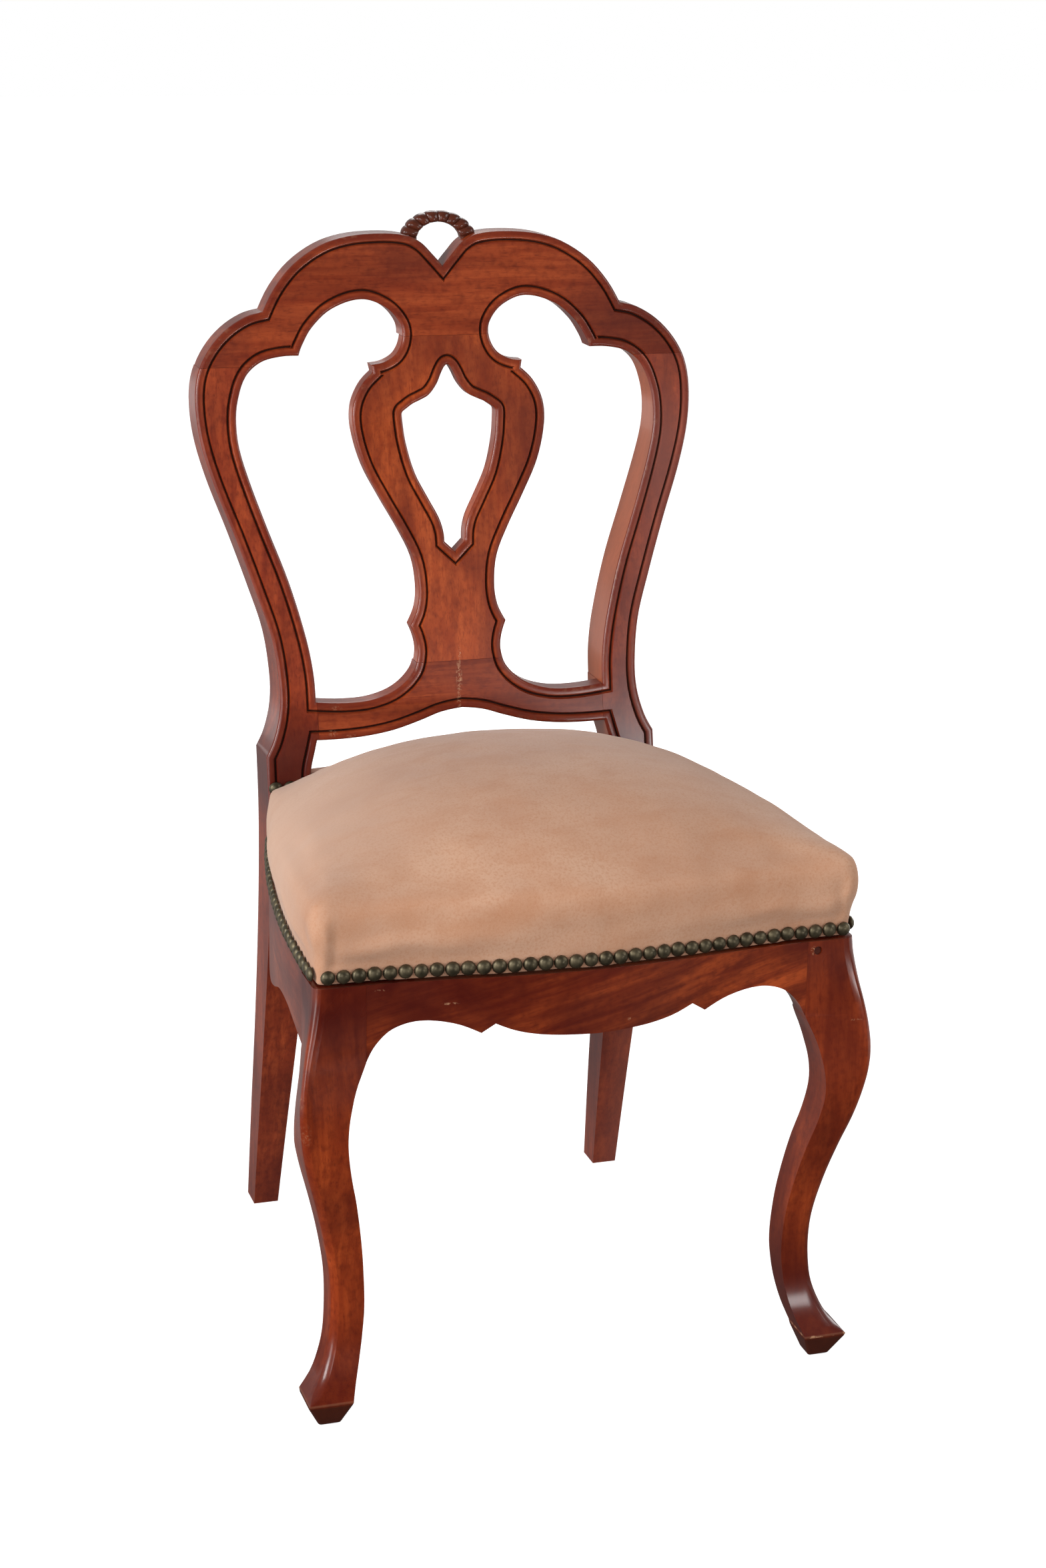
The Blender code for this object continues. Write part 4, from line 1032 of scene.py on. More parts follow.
        soften(leg, self.arris, on_arris, self.arris_steps)
        soften(leg, self.pad_round, lambda at: at.z < self.pad_top, self.pad_steps)
        soften(leg, self.edge_round, elsewhere)
        left = mirrored(leg, "cabriole_leg_left")
        deselect()
        x, radius, z = self.peg
        bpy.ops.mesh.primitive_cylinder_add(
            vertices=self.peg_sides, radius=radius, depth=self.peg_depth, rotation=(math.pi / 2, 0, 0),
            location=(x, SIZES.leg_front_y, z),
        )
        bpy.ops.object.transform_apply(location=True, rotation=True, scale=True)
        carve(leg, bpy.context.object, Cut.REMOVE)
        for side in (leg, left):
            smooth(side, self.sharp_from)
        dresser.dress(leg, "wood_leg", "mahogany", "front_leg_right")
        dresser.dress(left, "wood_leg", "mahogany", "front_leg_left")


@dataclass
class SeatRails:
    """Bowed rails that show below the cover."""

    front_edge: list[Knot] = field(default_factory=lambda: [
        (0.0, 0.3360, S), (0.208, 0.3385, S), (0.344, 0.3435, S), (0.446, 0.3515, C), (0.507, 0.3440, C),
        (0.625, 0.3538, S), (0.771, 0.3578, S), (0.885, 0.3524, S), (0.958, 0.3400, S), (1.0, 0.3255, C),
    ])
    side_edge: list[Knot] = field(default_factory=lambda: [
        (0.0, 0.3270, C), (0.12, 0.3345, S), (0.23, 0.3380, S), (0.37, 0.3330, S), (0.52, 0.3170, S),
        (0.68, 0.3030, S), (0.85, 0.2980, S), (1.0, 0.2990, C),
    ])
    arris: float = 0.0016
    joint_margin: float = 0.004
    stile_margin: float = 0.006
    front_slab: Point = (-0.27, -0.18)
    side_slab: Point = (0.0, 0.25)
    band_z: Point = (0.2, 0.5)
    overrun: Point = (0.01, 0.02)
    front_points: int = 81
    side_points: int = 61
    joint_points: int = 12
    side_chord: float = 0.02

    def cut_band(self, rail: Piece, face: Loop, inner: Loop) -> None:
        """Keep what lies between two lines in plan.

        Args:
            rail: Rail to cut.
            face: Outer line.
            inner: Inner line, in the same order.
        """
        carve(rail, prism("band", [face + inner[::-1]], Facing.PLAN, *self.band_z), Cut.KEEP)

    def front(self) -> Piece:
        """Saw the front rail from its front view and its plan.

        Returns:
            The rail with its edges still sharp.
        """
        limit = SIZES.joint_x - SIZES.gap
        right = sample([(share * limit, z, bend) for share, z, bend in self.front_edge])
        right.append((limit, SIZES.show_top))
        left = [(-x, z) for x, z in right[::-1]]
        rail = prism("bowed_front_rail", [right + left[:-1]], Facing.FRONT, *self.front_slab)
        face = [(x, SIZES.front_y(x)) for x in spread(-SIZES.joint_x, SIZES.joint_x, self.front_points)]
        self.cut_band(rail, face, [(x, y + SIZES.rail_thickness) for x, y in face])
        return rail

    def side(self, stile_front: list[Knot]) -> Piece:
        """Saw the right side rail from its side view and its plan.

        Args:
            stile_front: Front line of the stile's side view.

        Returns:
            The rail with its edges still sharp.
        """
        begin, end = SIZES.leg_back_y + SIZES.gap, SIZES.stile_front_y - SIZES.gap
        edge = sample(self.side_edge, chord=self.side_chord)
        lower = [(begin + share * (end - begin), z) for share, z in edge]
        heights = [(z, y) for y, z in sample(stile_front)]
        top = SIZES.show_top
        rear = []
        for z in spread(lower[-1][1], top, self.joint_points):
            rear.append((SIZES.stile_front_y + value_at(heights, z) - SIZES.gap, z))
        outline = lower[:-1] + rear + [(begin, top)]
        rail = prism("bowed_side_rail_right", [outline], Facing.SIDE, *self.side_slab)
        before, after = self.overrun
        face = [(SIZES.side_x(y), y) for y in spread(begin - before, end + after, self.side_points)]
        self.cut_band(rail, face, [(x - SIZES.rail_thickness, y) for x, y in face])
        return rail

    def build(self, dresser: Dresser, stile_front: list[Knot]) -> None:
        """Build and dress the three rails that show.

        Args:
            dresser: Places and paints the pieces.
            stile_front: Front line of the stile's side view.
        """
        front = self.front()
        side = self.side(stile_front)
        limit = SIZES.joint_x - self.joint_margin
        begin, end = SIZES.leg_back_y + self.joint_margin, SIZES.stile_front_y - self.stile_margin
        soften(front, self.arris, lambda at: abs(at.x) < limit)
        soften(side, self.arris, lambda at: begin < at.y < end)
        other = mirrored(side, "bowed_side_rail_left")
        for rail in (front, side, other):
            smooth(rail)
        dresser.dress(front, "wood_front", "mahogany", "front_seat_rail")
        dresser.dress(side, "wood_along", "mahogany", "side_seat_rail_right")
        dresser.dress(other, "wood_along", "mahogany", "side_seat_rail_left")


# Upholstery

def seat_plan(points: int) -> Loop:
    """Trace the seat's plan, counter-clockwise from the middle of its front.

    Args:
        points: Points along the front half and along the side.

    Returns:
        The closed plan.
    """
    radius = SIZES.seat_corner
    front = [(x, SIZES.front_y(x)) for x in spread(0.0, SIZES.front_half - radius, points)]
    centre_x, centre_y = SIZES.front_half - radius, SIZES.leg_front_y + radius
    turn = []
    for degrees in range(-75, 0, 15):
        angle = math.radians(degrees)
        turn.append((centre_x + radius * math.cos(angle), centre_y + radius * math.sin(angle)))
    side = [(SIZES.side_x(y), y) for y in spread(SIZES.leg_front_y + radius, SIZES.cover_back_y, points)]
    rear = [(x, SIZES.cover_back_y) for x in spread(side[-1][0], 0.0, points // 2)[1:]]
    right = front + turn + side + rear
    return right + [(-x, y) for x, y in right[::-1] if x > TINY]


@dataclass
class SeatCover:
    """Stuffed seat: a crowned form that is swollen as cloth and nailed down at the stiles."""

    bulge: float = 0.0085
    rear_slim: float = 0.85
    edge_z: float = 0.466
    rear_drop: float = 0.010
    crown: float = 0.061
    crown_power: float = 2.4
    pinch: float = 0.0165
    pinch_radius: float = 0.022
    nail_flat: float = 0.0151
    clear: float = 0.0016
    voxel: float = 0.007
    pressure: float = 4.0
    cap: float = 0.004
    slack: float = 0.0012
    hem: float = 0.412
    hem_margin: float = 0.004
    plan_points: int = 40
    crown_rings: int = 40
    crown_end: float = 0.04
    held_margin: float = 0.012
    frames: int = 20
    quality: int = 5
    mass: float = 0.3
    stretch: float = 25.0
    shear: float = 15.0
    bending: float = 2.0
    settle: tuple[float, int] = (0.5, 4)
    free_rings: int = 4
    hold_rings: int = 8
    wall_turn: float = 0.2
    wall_chord: float = 0.15
    underside: float = -0.8
    sharp_from: float = 60.0
    hollows: tuple[Point, ...] = ((0.0009, 16.0), (0.0005, 41.0))
    pleat_inset: float = 0.010
    pleat_drop: float = 0.016
    pleat_depth: float = 0.030
    pleat_fade: float = 0.020
    pleats: tuple[Place, ...] = ((0.0010, 0.0, 0.004), (-0.0014, 0.006, 0.0045))
    slot_x: float = 0.5
    slot_z: Point = (0.2, 0.8)
    skin: float = 0.8
    wall: list[Knot] = field(default_factory=lambda: [
        (0.0, 0.0, C), (0.14, 0.13, S), (0.42, 0.26, S), (0.86, 0.42, S), (1.03, 0.58, S),
        (1.00, 0.73, S), (0.64, 0.91, S), (-0.20, 1.0, C),
    ])

    def level(self, y: float) -> float:
        """Give the height of the seat's upper edge, which falls towards the rear."""
        depth = SIZES.cover_back_y - SIZES.leg_front_y
        return self.edge_z - self.rear_drop * (y - SIZES.leg_front_y) / depth

    def fullness(self, y: float) -> float:
        """Give the share of the bulge, which is lost beside the stiles."""
        return 1 - self.rear_slim * clamp(y / SIZES.stile_front_y)

    def swelling(self, x: float, y: float, margin: float) -> float:
        """Give the share of the crown's height at a place whose edge lies a margin inside the plan.

        Args:
            x: Place across.
            y: Place along.
            margin: How far the crown starts inside the plan.

        Returns:
            A share from 0 to 1.
        """
        middle = SIZES.seat_middle_y
        reach = SIZES.cover_back_y - margin - middle if y > middle else middle - SIZES.front_y(x) - margin
        across = min(1.0, abs(x) / (SIZES.side_x(y) - margin))
        along = min(1.0, abs(y - middle) / reach)
        return (1 - across ** self.crown_power) * (1 - along ** self.crown_power)

    def surface(self, inset: float) -> tuple[list[list[Place]], Place]:
        """Give rings of the stuffed form and its crown.

        Args:
            inset: How far the form is moved inwards.

        Returns:
            The rings from the hem upwards, and the top point.
        """
        plan = seat_plan(self.plan_points)
        flat = offset_loop(plan, SIZES.cover_line + inset)
        bottom = SIZES.show_top + SIZES.gap
        top = bottom + self.nail_flat
        rows = [(0.0, bottom, 0.0), (0.0, (bottom + top) / 2, 0.0)]
        rows += [(out, top, rise) for out, rise in sample(self.wall, False, self.wall_turn, self.wall_chord)]
        rings = []
        for out, start, rise in rows:
            ring = []
            full = offset_loop(plan, SIZES.cover_line + inset - out * self.bulge)
            for (flat_x, flat_y), (full_x, full_y) in zip(flat, full):
                share = self.fullness(flat_y)
                x = flat_x + (full_x - flat_x) * share
                y = flat_y + (full_y - flat_y) * share
                ring.append((x, y, start + (self.level(y) - inset - top) * rise))
            rings.append(ring)
        margin = SIZES.cover_line + inset - rows[-1][0] * self.bulge
        middle = SIZES.seat_middle_y
        edge_ring = rings[-1]
        for share in spread(1.0, self.crown_end, self.crown_rings)[1:]:
            ring = []
            for x, y, _ in edge_ring:
                at_x, at_y = x * share, middle + (y - middle) * share
                height = self.level(at_y) - inset + self.crown * self.swelling(at_x, at_y, margin)
                ring.append((at_x, at_y, height))
            rings.append(ring)
        hold = [clamp((k - self.free_rings) / self.hold_rings) for k in range(len(rings))]
        pinched = [[self.pinched(point, share) for point in ring] for ring, share in zip(rings, hold)]
        return pinched, (0.0, middle, self.level(middle) - inset + self.crown)

    def pinched(self, point: Place, hold: float) -> Place:
        """Move a place down where the cover is nailed to a stile's front.

        Args:
            point: Place on the form.
            hold: Share of the pinch that its ring takes.

        Returns:
            The moved place.
        """
        x, y, z = point
        middle = (SIZES.stile_inner_x + SIZES.stile_outer_x) / 2
        away = math.hypot(abs(x) - middle, y - SIZES.stile_front_y) / self.pinch_radius
        return x, y, z - self.pinch * hold * math.exp(-away * away)

    def swell(self, piece: Piece) -> None:
        """Blow the form up as cloth, held along its hem and at the stiles.

        Args:
            piece: Remeshed form.
        """
        rest = [vertex.co.copy() for vertex in piece.data.vertices]
        held = piece.vertex_groups.new(name="held")
        for vertex in piece.data.vertices:
            x, y, z = vertex.co
            beside = abs(x) > SIZES.stile_inner_x - self.held_margin
            if z < self.hem or beside and y > SIZES.stile_front_y - self.held_margin:
                held.add([vertex.index], 1.0, "REPLACE")
        step = piece.modifiers.new("stuffing", "CLOTH")
        cloth = step.settings
        cloth.quality = self.quality
        cloth.mass = self.mass
        cloth.tension_stiffness = cloth.compression_stiffness = self.stretch
        cloth.shear_stiffness = self.shear
        cloth.bending_stiffness = self.bending
        cloth.use_pressure = True
        cloth.uniform_pressure_force = self.pressure
        cloth.vertex_group_mass = "held"
        cloth.effector_weights.gravity = 0.0
        step.collision_settings.use_collision = False
        scene = bpy.context.scene
        for number in range(1, self.frames + 1):
            scene.frame_set(number)
        graph = bpy.context.evaluated_depsgraph_get()
        swollen = bpy.data.meshes.new_from_object(piece.evaluated_get(graph))
        piece.modifiers.clear()
        for vertex, moved, start in zip(piece.data.vertices, swollen.vertices, rest):
            shift = moved.co - start
            if shift.length > self.cap:
                shift *= self.cap / shift.length
            vertex.co = start + shift
        bpy.data.meshes.remove(swollen)
        scene.frame_set(1)

    def crease(self, piece: Piece) -> None:
        """Add soft hollows to the cloth, and a pleat at each front corner.

        Args:
            piece: Swollen form.
        """
        pleat_x, top = SIZES.front_half - self.pleat_inset, self.edge_z - self.pleat_drop
        normals = [vertex.normal.copy() for vertex in piece.data.vertices]
        for vertex, normal in zip(piece.data.vertices, normals):
            at = vertex.co
            if at.z < self.hem - self.hem_margin:
                continue
            hollow = sum(depth * noise.noise(at * scale) for depth, scale in self.hollows)
            if at.y < SIZES.leg_front_y + self.pleat_depth and at.z < top:
                fade = min(1.0, (top - at.z) / self.pleat_fade)
                side = abs(at.x) - pleat_x
                for depth, inset, width in self.pleats:
                    hollow += fade * depth * math.exp(-((side + inset) / width) ** 2)
            vertex.co = at + normal * hollow

    def slots(self, under_edge: list[Knot]) -> Piece:
        """Make the cutter that frees the rear corners from both stiles.

        Args:
            under_edge: Lower outline of the back, with the stiles' inner sides.

        Returns:
            The cutter.
        """
        edge = [(x - self.clear, z) for x, z in sample(under_edge) if x >= under_edge[3][0]]
        low, high = self.slot_z
        far = [(edge[0][0], low), (self.slot_x, low), (self.slot_x, high), (edge[-1][0], high)]
        near = SIZES.stile_front_y - self.clear / 2
        right = prism("slot", [far + edge[::-1]], Facing.FRONT, near, THROUGH)
        return join([right, mirrored(right, "slot_left")])

    def build(self, dresser: Dresser, under_edge: list[Knot]) -> None:
        """Make, swell, trim and dress the cover.

        Args:
            dresser: Places and paints the piece.
            under_edge: Lower outline of the back.
        """
        rings, crown = self.surface(self.slack)
        cover = loft("stuffed_cover", rings, peak=crown)
        activate(cover)
        cover.data.remesh_voxel_size = self.voxel
        bpy.ops.object.voxel_remesh()
        self.swell(cover)
        step = cover.modifiers.new("settle", "SMOOTH")
        step.factor, step.iterations = self.settle
        finer = cover.modifiers.new("finer", "SUBSURF")
        finer.levels = finer.render_levels = 1
        apply_all(cover)
        self.crease(cover)
        carve(cover, self.slots(under_edge), Cut.REMOVE)
        self.open_below(cover)
        skin = cover.modifiers.new("cloth", "SOLIDIFY")
        skin.thickness = SIZES.cover_thickness * self.skin
        skin.offset = -1.0
        apply_all(cover)
        smooth(cover, self.sharp_from)
        dresser.dress(cover, "suede", "velour", "seat_cover", "seat_stuffing")

    def open_below(self, piece: Piece) -> None:
        """Delete the form's underside, which leaves an open skin that is tucked in round the stiles.

        Args:
            piece: Closed form.
        """
        form = bmesh.new()
        form.from_mesh(piece.data)
        floor = SIZES.show_top + self.hem_margin
        below = [face for face in form.faces if face.normal.z < self.underside]
        loose = [face for face in below if face.calc_center_median().z < floor]
        bmesh.ops.delete(form, geom=loose, context="FACES")
        form.to_mesh(piece.data)
        form.free()


@dataclass
class NailRows:
    """Domed nails along the cover's hem and on the stiles."""

    diameter: float = 0.0129
    height: float = 0.0050
    pitch: float = 0.0129
    rise: float = 0.0090
    base: float = 0.0006
    stile_z: float = 0.4480
    stile_step: Point = (0.014, 0.004)
    corner: float = 0.006
    rear_margin: float = 0.004
    side_stop: float = 0.002
    lean: Place = (0.05, 0.05, 0.06)
    sizes: Point = (0.96, 1.02)
    drift: float = 0.0004
    seed: int = 7
    dome_sides: int = 14
    dome_rings: int = 10
    plan_points: int = 60

    def nail(self) -> Piece:
        """Cut a dome from a ball and flatten it, with its face towards +Z.

        Returns:
            The nail that every row copies.
        """
        deselect()
        radius, plane = self.diameter / 2, (0.0, 0.0, self.base)
        bpy.ops.mesh.primitive_uv_sphere_add(
            segments=self.dome_sides, ring_count=self.dome_rings, radius=radius, location=(0, 0, 0),
        )
        dome = bpy.context.object
        bpy.ops.object.mode_set(mode="EDIT")
        bpy.ops.mesh.select_all(action="SELECT")
        bpy.ops.mesh.bisect(plane_co=plane, plane_no=(0, 0, 1), use_fill=True, clear_inner=True)
        bpy.ops.mesh.select_all(action="SELECT")
        bpy.ops.transform.resize(value=(1.0, 1.0, self.height / radius), center_override=plane)
        bpy.ops.object.mode_set(mode="OBJECT")
        bpy.ops.object.shade_smooth()
        return dome

    def places(self, path: Loop, level: float) -> Nails:
        """Space nails evenly along a path.

        Args:
            path: Points of the path in plan.
            level: Height of the row.

        Returns:
            Place and outward direction of each nail.
        """
        spots = [Vector((x, y, level)) for x, y in path]
        runs = [(b - a).length for a, b in zip(spots, spots[1:])]
        count = max(1, round(sum(runs) / self.pitch))
        found = []
        for i in range(count):
            left = (i + 0.5) * sum(runs) / count
            for a, b, run in zip(spots, spots[1:], runs):
                if left <= run:
                    ahead = (b - a).normalized()
                    found.append((a.lerp(b, left / run), Vector((ahead.y, -ahead.x, 0.0))))
                    break
                left -= run
        return found

    @staticmethod
    def other_side(places: Nails) -> Nails:
        """Mirror places and directions to the other side of the chair.

        Args:
            places: Nails on the right.

        Returns:
            Nails on the left.
        """
        flip = Vector((-1.0, 1.0, 1.0))
        return [(spot * flip, outward * flip) for spot, outward in places]

    def row(self, name: str, places: Nails, model: Piece) -> Piece:
        """Copy the nail to each place and join the copies.

        Args:
            name: The row's name.
            places: Place and outward direction of each nail.
            model: Nail to copy.

        Returns:
            The joined row.
        """
        rng = random.Random(self.seed)
        copies = []
        for spot, outward in places:
            copy = link(name, model.data.copy())
            lean = Vector([rng.uniform(-most, most) for most in self.lean])
            turn = (outward + lean).to_track_quat("Z", "Y").to_matrix().to_4x4()
            size = rng.uniform(*self.sizes)
            drift = Vector((0, 0, rng.uniform(-self.drift, self.drift)))
            copy.data.transform(Matrix.Translation(spot + drift) @ turn @ Matrix.Scale(size, 4))
            copies.append(copy)
        return join(copies)

    def build(self, dresser: Dresser) -> None:
        """Set every row and dress it.

        Args:
            dresser: Places and paints the rows.
        """
        model = self.nail()
        ring = offset_loop(seat_plan(self.plan_points), SIZES.cover_line)
        level = SIZES.show_top + self.rise
        edge_x = SIZES.front_half - SIZES.seat_corner / 2
        corner_y = SIZES.leg_front_y + self.corner
        front = sorted((x, y) for x, y in ring if y < corner_y and abs(x) <= edge_x)
        stop = SIZES.stile_front_y - self.side_stop
        right = [(x, y) for x, y in ring if x > SIZES.stile_inner_x and corner_y < y < stop]
        right.sort(key=lambda point: point[1])
        rear_y, reach = SIZES.cover_back_y - SIZES.cover_line, SIZES.stile_inner_x - self.rear_margin
        inner, outer = SIZES.stile_inner_x, SIZES.stile_outer_x
        behind, above = self.stile_step
        face = SIZES.plane_y(self.stile_z - above)
        beside = (Vector((inner, face + behind, self.stile_z + above)), Vector((-1.0, 0.0, 0.0)))
        side = self.places(right, level)
        stile = self.places([(inner, face), (outer, face)], self.stile_z) + [beside]
        rows = {
            "nails_front": self.places(front, level),
            "nails_right": side,
            "nails_left": self.other_side(side),
            "nails_rear": self.places([(reach, rear_y), (-reach, rear_y)], level),
            "nails_stile_right": stile,
            "nails_stile_left": self.other_side(stile),
        }
        for node, places in rows.items():
            dresser.dress(self.row(f"domed_{node}", places, model), "bronze", "bronze", node)
        drop(model)


# Finishes

class Nodes:
    """Short way to add and join shader nodes in one tree."""

    def __init__(self, tree: bpy.types.NodeTree) -> None:
        """Keep the tree."""
        self.tree = tree

    def feed(self, node: bpy.types.Node, links: Links) -> None:
        """Set a node's inputs from values, or join them to sockets.

        Args:
            node: Node to set.
            links: Value or socket for each input.
        """
        for name, value in links.items():
            if isinstance(value, Socket):
                self.tree.links.new(value, node.inputs[name])
            else:
                node.inputs[name].default_value = value

    def add(self, kind: str, links: Links | None = None, **settings: object) -> bpy.types.Node:
        """Add a node.

        Args:
            kind: Blender's name of the node type.
            links: Values or sockets for its inputs.
            settings: Its own settings.

        Returns:
            The node.
        """
        node = self.tree.nodes.new(kind)
        for name, value in settings.items():
            setattr(node, name, value)
        self.feed(node, links or {})
        return node

    def coordinates(self) -> Socket:
        """Give the object's own coordinates."""
        return self.add("ShaderNodeTexCoord").outputs["Object"]

    def attribute(self, name: str) -> Socket:
        """Give a value stored on the mesh."""
        return self.add("ShaderNodeAttribute", attribute_name=name).outputs["Fac"]

    def parts(self, vector: Socket) -> bpy.types.Node:
        """Split a vector into X, Y and Z."""
        return self.add("ShaderNodeSeparateXYZ", {"Vector": vector})

    def mapped(self, vector: Socket, scale: Place = (1.0, 1.0, 1.0), turn: Place = (0.0, 0.0, 0.0)) -> Socket:
        """Stretch and turn a vector."""
        return self.add("ShaderNodeMapping", {"Vector": vector, "Scale": scale, "Rotation": turn}).outputs[0]

    def noise(self, vector: Socket, scale: float, detail: float, distortion: float = 0.0) -> Socket:
        """Add a noise texture and give its value."""
        links = {"Vector": vector, "Scale": scale, "Detail": detail, "Distortion": distortion}
        return self.add("ShaderNodeTexNoise", links).outputs["Fac"]

    def ramp(self, value: Value, low: float, high: float, to_low: float = 0, to_high: float = 1) -> Socket:
        """Add a clamped range and give its result."""
        links = {"Value": value, "From Min": low, "From Max": high, "To Min": to_low, "To Max": to_high}
        return self.add("ShaderNodeMapRange", links).outputs["Result"]

    def math(self, operation: str, first: Value, second: Value = 0.0) -> Socket:
        """Add a sum and give its value."""
        return self.add("ShaderNodeMath", {0: first, 1: second}, operation=operation).outputs[0]

    def times(self, first: Value, second: Value) -> Socket:
        """Multiply two values."""
        return self.math("MULTIPLY", first, second)

    def most(self, first: Value, second: Value) -> Socket:
        """Give the larger of two values."""
        return self.math("MAXIMUM", first, second)

    def vector(self, operation: str, *values: Value) -> bpy.types.Node:
        """Add a vector sum."""
        return self.add("ShaderNodeVectorMath", dict(enumerate(values)), operation=operation)

    def mix(self, share: Value, first: Value, second: Value) -> Socket:
        """Add a colour mix and give its colour."""
        return self.add("ShaderNodeMix", {0: share, 6: first, 7: second}, data_type="RGBA").outputs[2]

    def bump(self, height: Socket, strength: float, distance: float) -> Socket:
        """Turn a height into a normal."""
        links = {"Strength": strength, "Distance": distance, "Height": height}
        return self.add("ShaderNodeBump", links).outputs[0]


def start_material(name: str) -> tuple[bpy.types.Material, Nodes, bpy.types.Node]:
    """Make a material and give it with its node helper and its shader.

    Args:
        name: The material's name.

    Returns:
        The material, its node helper and its shader.
    """
    made = bpy.data.materials.new(name)
    made.use_nodes = True
    return made, Nodes(made.node_tree), made.node_tree.nodes["Principled BSDF"]


def colour(red: float, green: float, blue: float) -> Colour:
    """Turn a screen colour from 0 to 255 into a linear one.

    Args:
        red: Red, from 0 to 255.
        green: Green, from 0 to 255.
        blue: Blue, from 0 to 255.

    Returns:
        The linear colour, opaque.
    """
    def linear(value: float) -> float:
        """Turn one channel."""
        share = value / 255
        return share / 12.92 if share <= 0.04045 else ((share + 0.055) / 1.055) ** 2.4

    return linear(red), linear(green), linear(blue), 1.0


def grain_group() -> bpy.types.NodeTree:
    """Build the shared wood grain: streaks, pores and clouds of stain along the local Z axis.

    Returns:
        The node group.
    """
    tree = bpy.data.node_groups.new("stained_grain", "ShaderNodeTree")
    sockets = {
        "INPUT": {"Vector": "Vector", "Light": "Color", "Dark": "Color", "Stain": "Color"},
        "OUTPUT": {"Color": "Color", "Roughness": "Float", "Height": "Float", "Wear": "Float"},
    }
    for way, names in sockets.items():
        for name, kind in names.items():
            tree.interface.new_socket(name, in_out=way, socket_type=f"NodeSocket{kind}")
    nodes = Nodes(tree)
    given = nodes.add("NodeGroupInput")
    where, stain = given.outputs["Vector"], given.outputs["Stain"]
    long = nodes.mapped(where, (1.0, 1.0, 0.10))
    flame = nodes.noise(long, 64.0, 6.0, 0.9)
    streaks = nodes.noise(nodes.mapped(where, (1.0, 1.0, 0.05)), 260.0, 3.0, 0.3)
    pores = nodes.noise(nodes.mapped(where, (1.0, 1.0, 0.15)), 850.0, 2.0)
    mottle = nodes.noise(long, 30.0, 7.0, 0.4)
    clouds = nodes.noise(where, 7.0, 4.0, 0.8)
    fine = nodes.noise(where, 160.0, 3.0)
    tint = nodes.mix(nodes.ramp(flame, 0.34, 0.68), given.outputs["Light"], given.outputs["Dark"])
    tint = nodes.mix(nodes.ramp(streaks, 0.46, 0.66, 0.0, 0.70), tint, given.outputs["Dark"])
    for mask, low, high, most in ((clouds, 0.44, 0.70, 0.62), (mottle, 0.46, 0.70, 0.62),
                                  (pores, 0.56, 0.70, 0.36), (fine, 0.46, 0.70, 0.34)):
        tint = nodes.mix(nodes.ramp(mask, low, high, 0.0, most), tint, stain)
    nodes.add("NodeGroupOutput", {
        "Color": tint,
        "Roughness": nodes.ramp(clouds, 0.3, 0.7, 0.26, 0.40),
        "Height": nodes.math("SUBTRACT", nodes.times(streaks, 0.6), nodes.times(pores, 0.4)),
        "Wear": nodes.times(nodes.ramp(fine, 0.52, 0.66), nodes.ramp(clouds, 0.42, 0.60)),
    })
    return tree


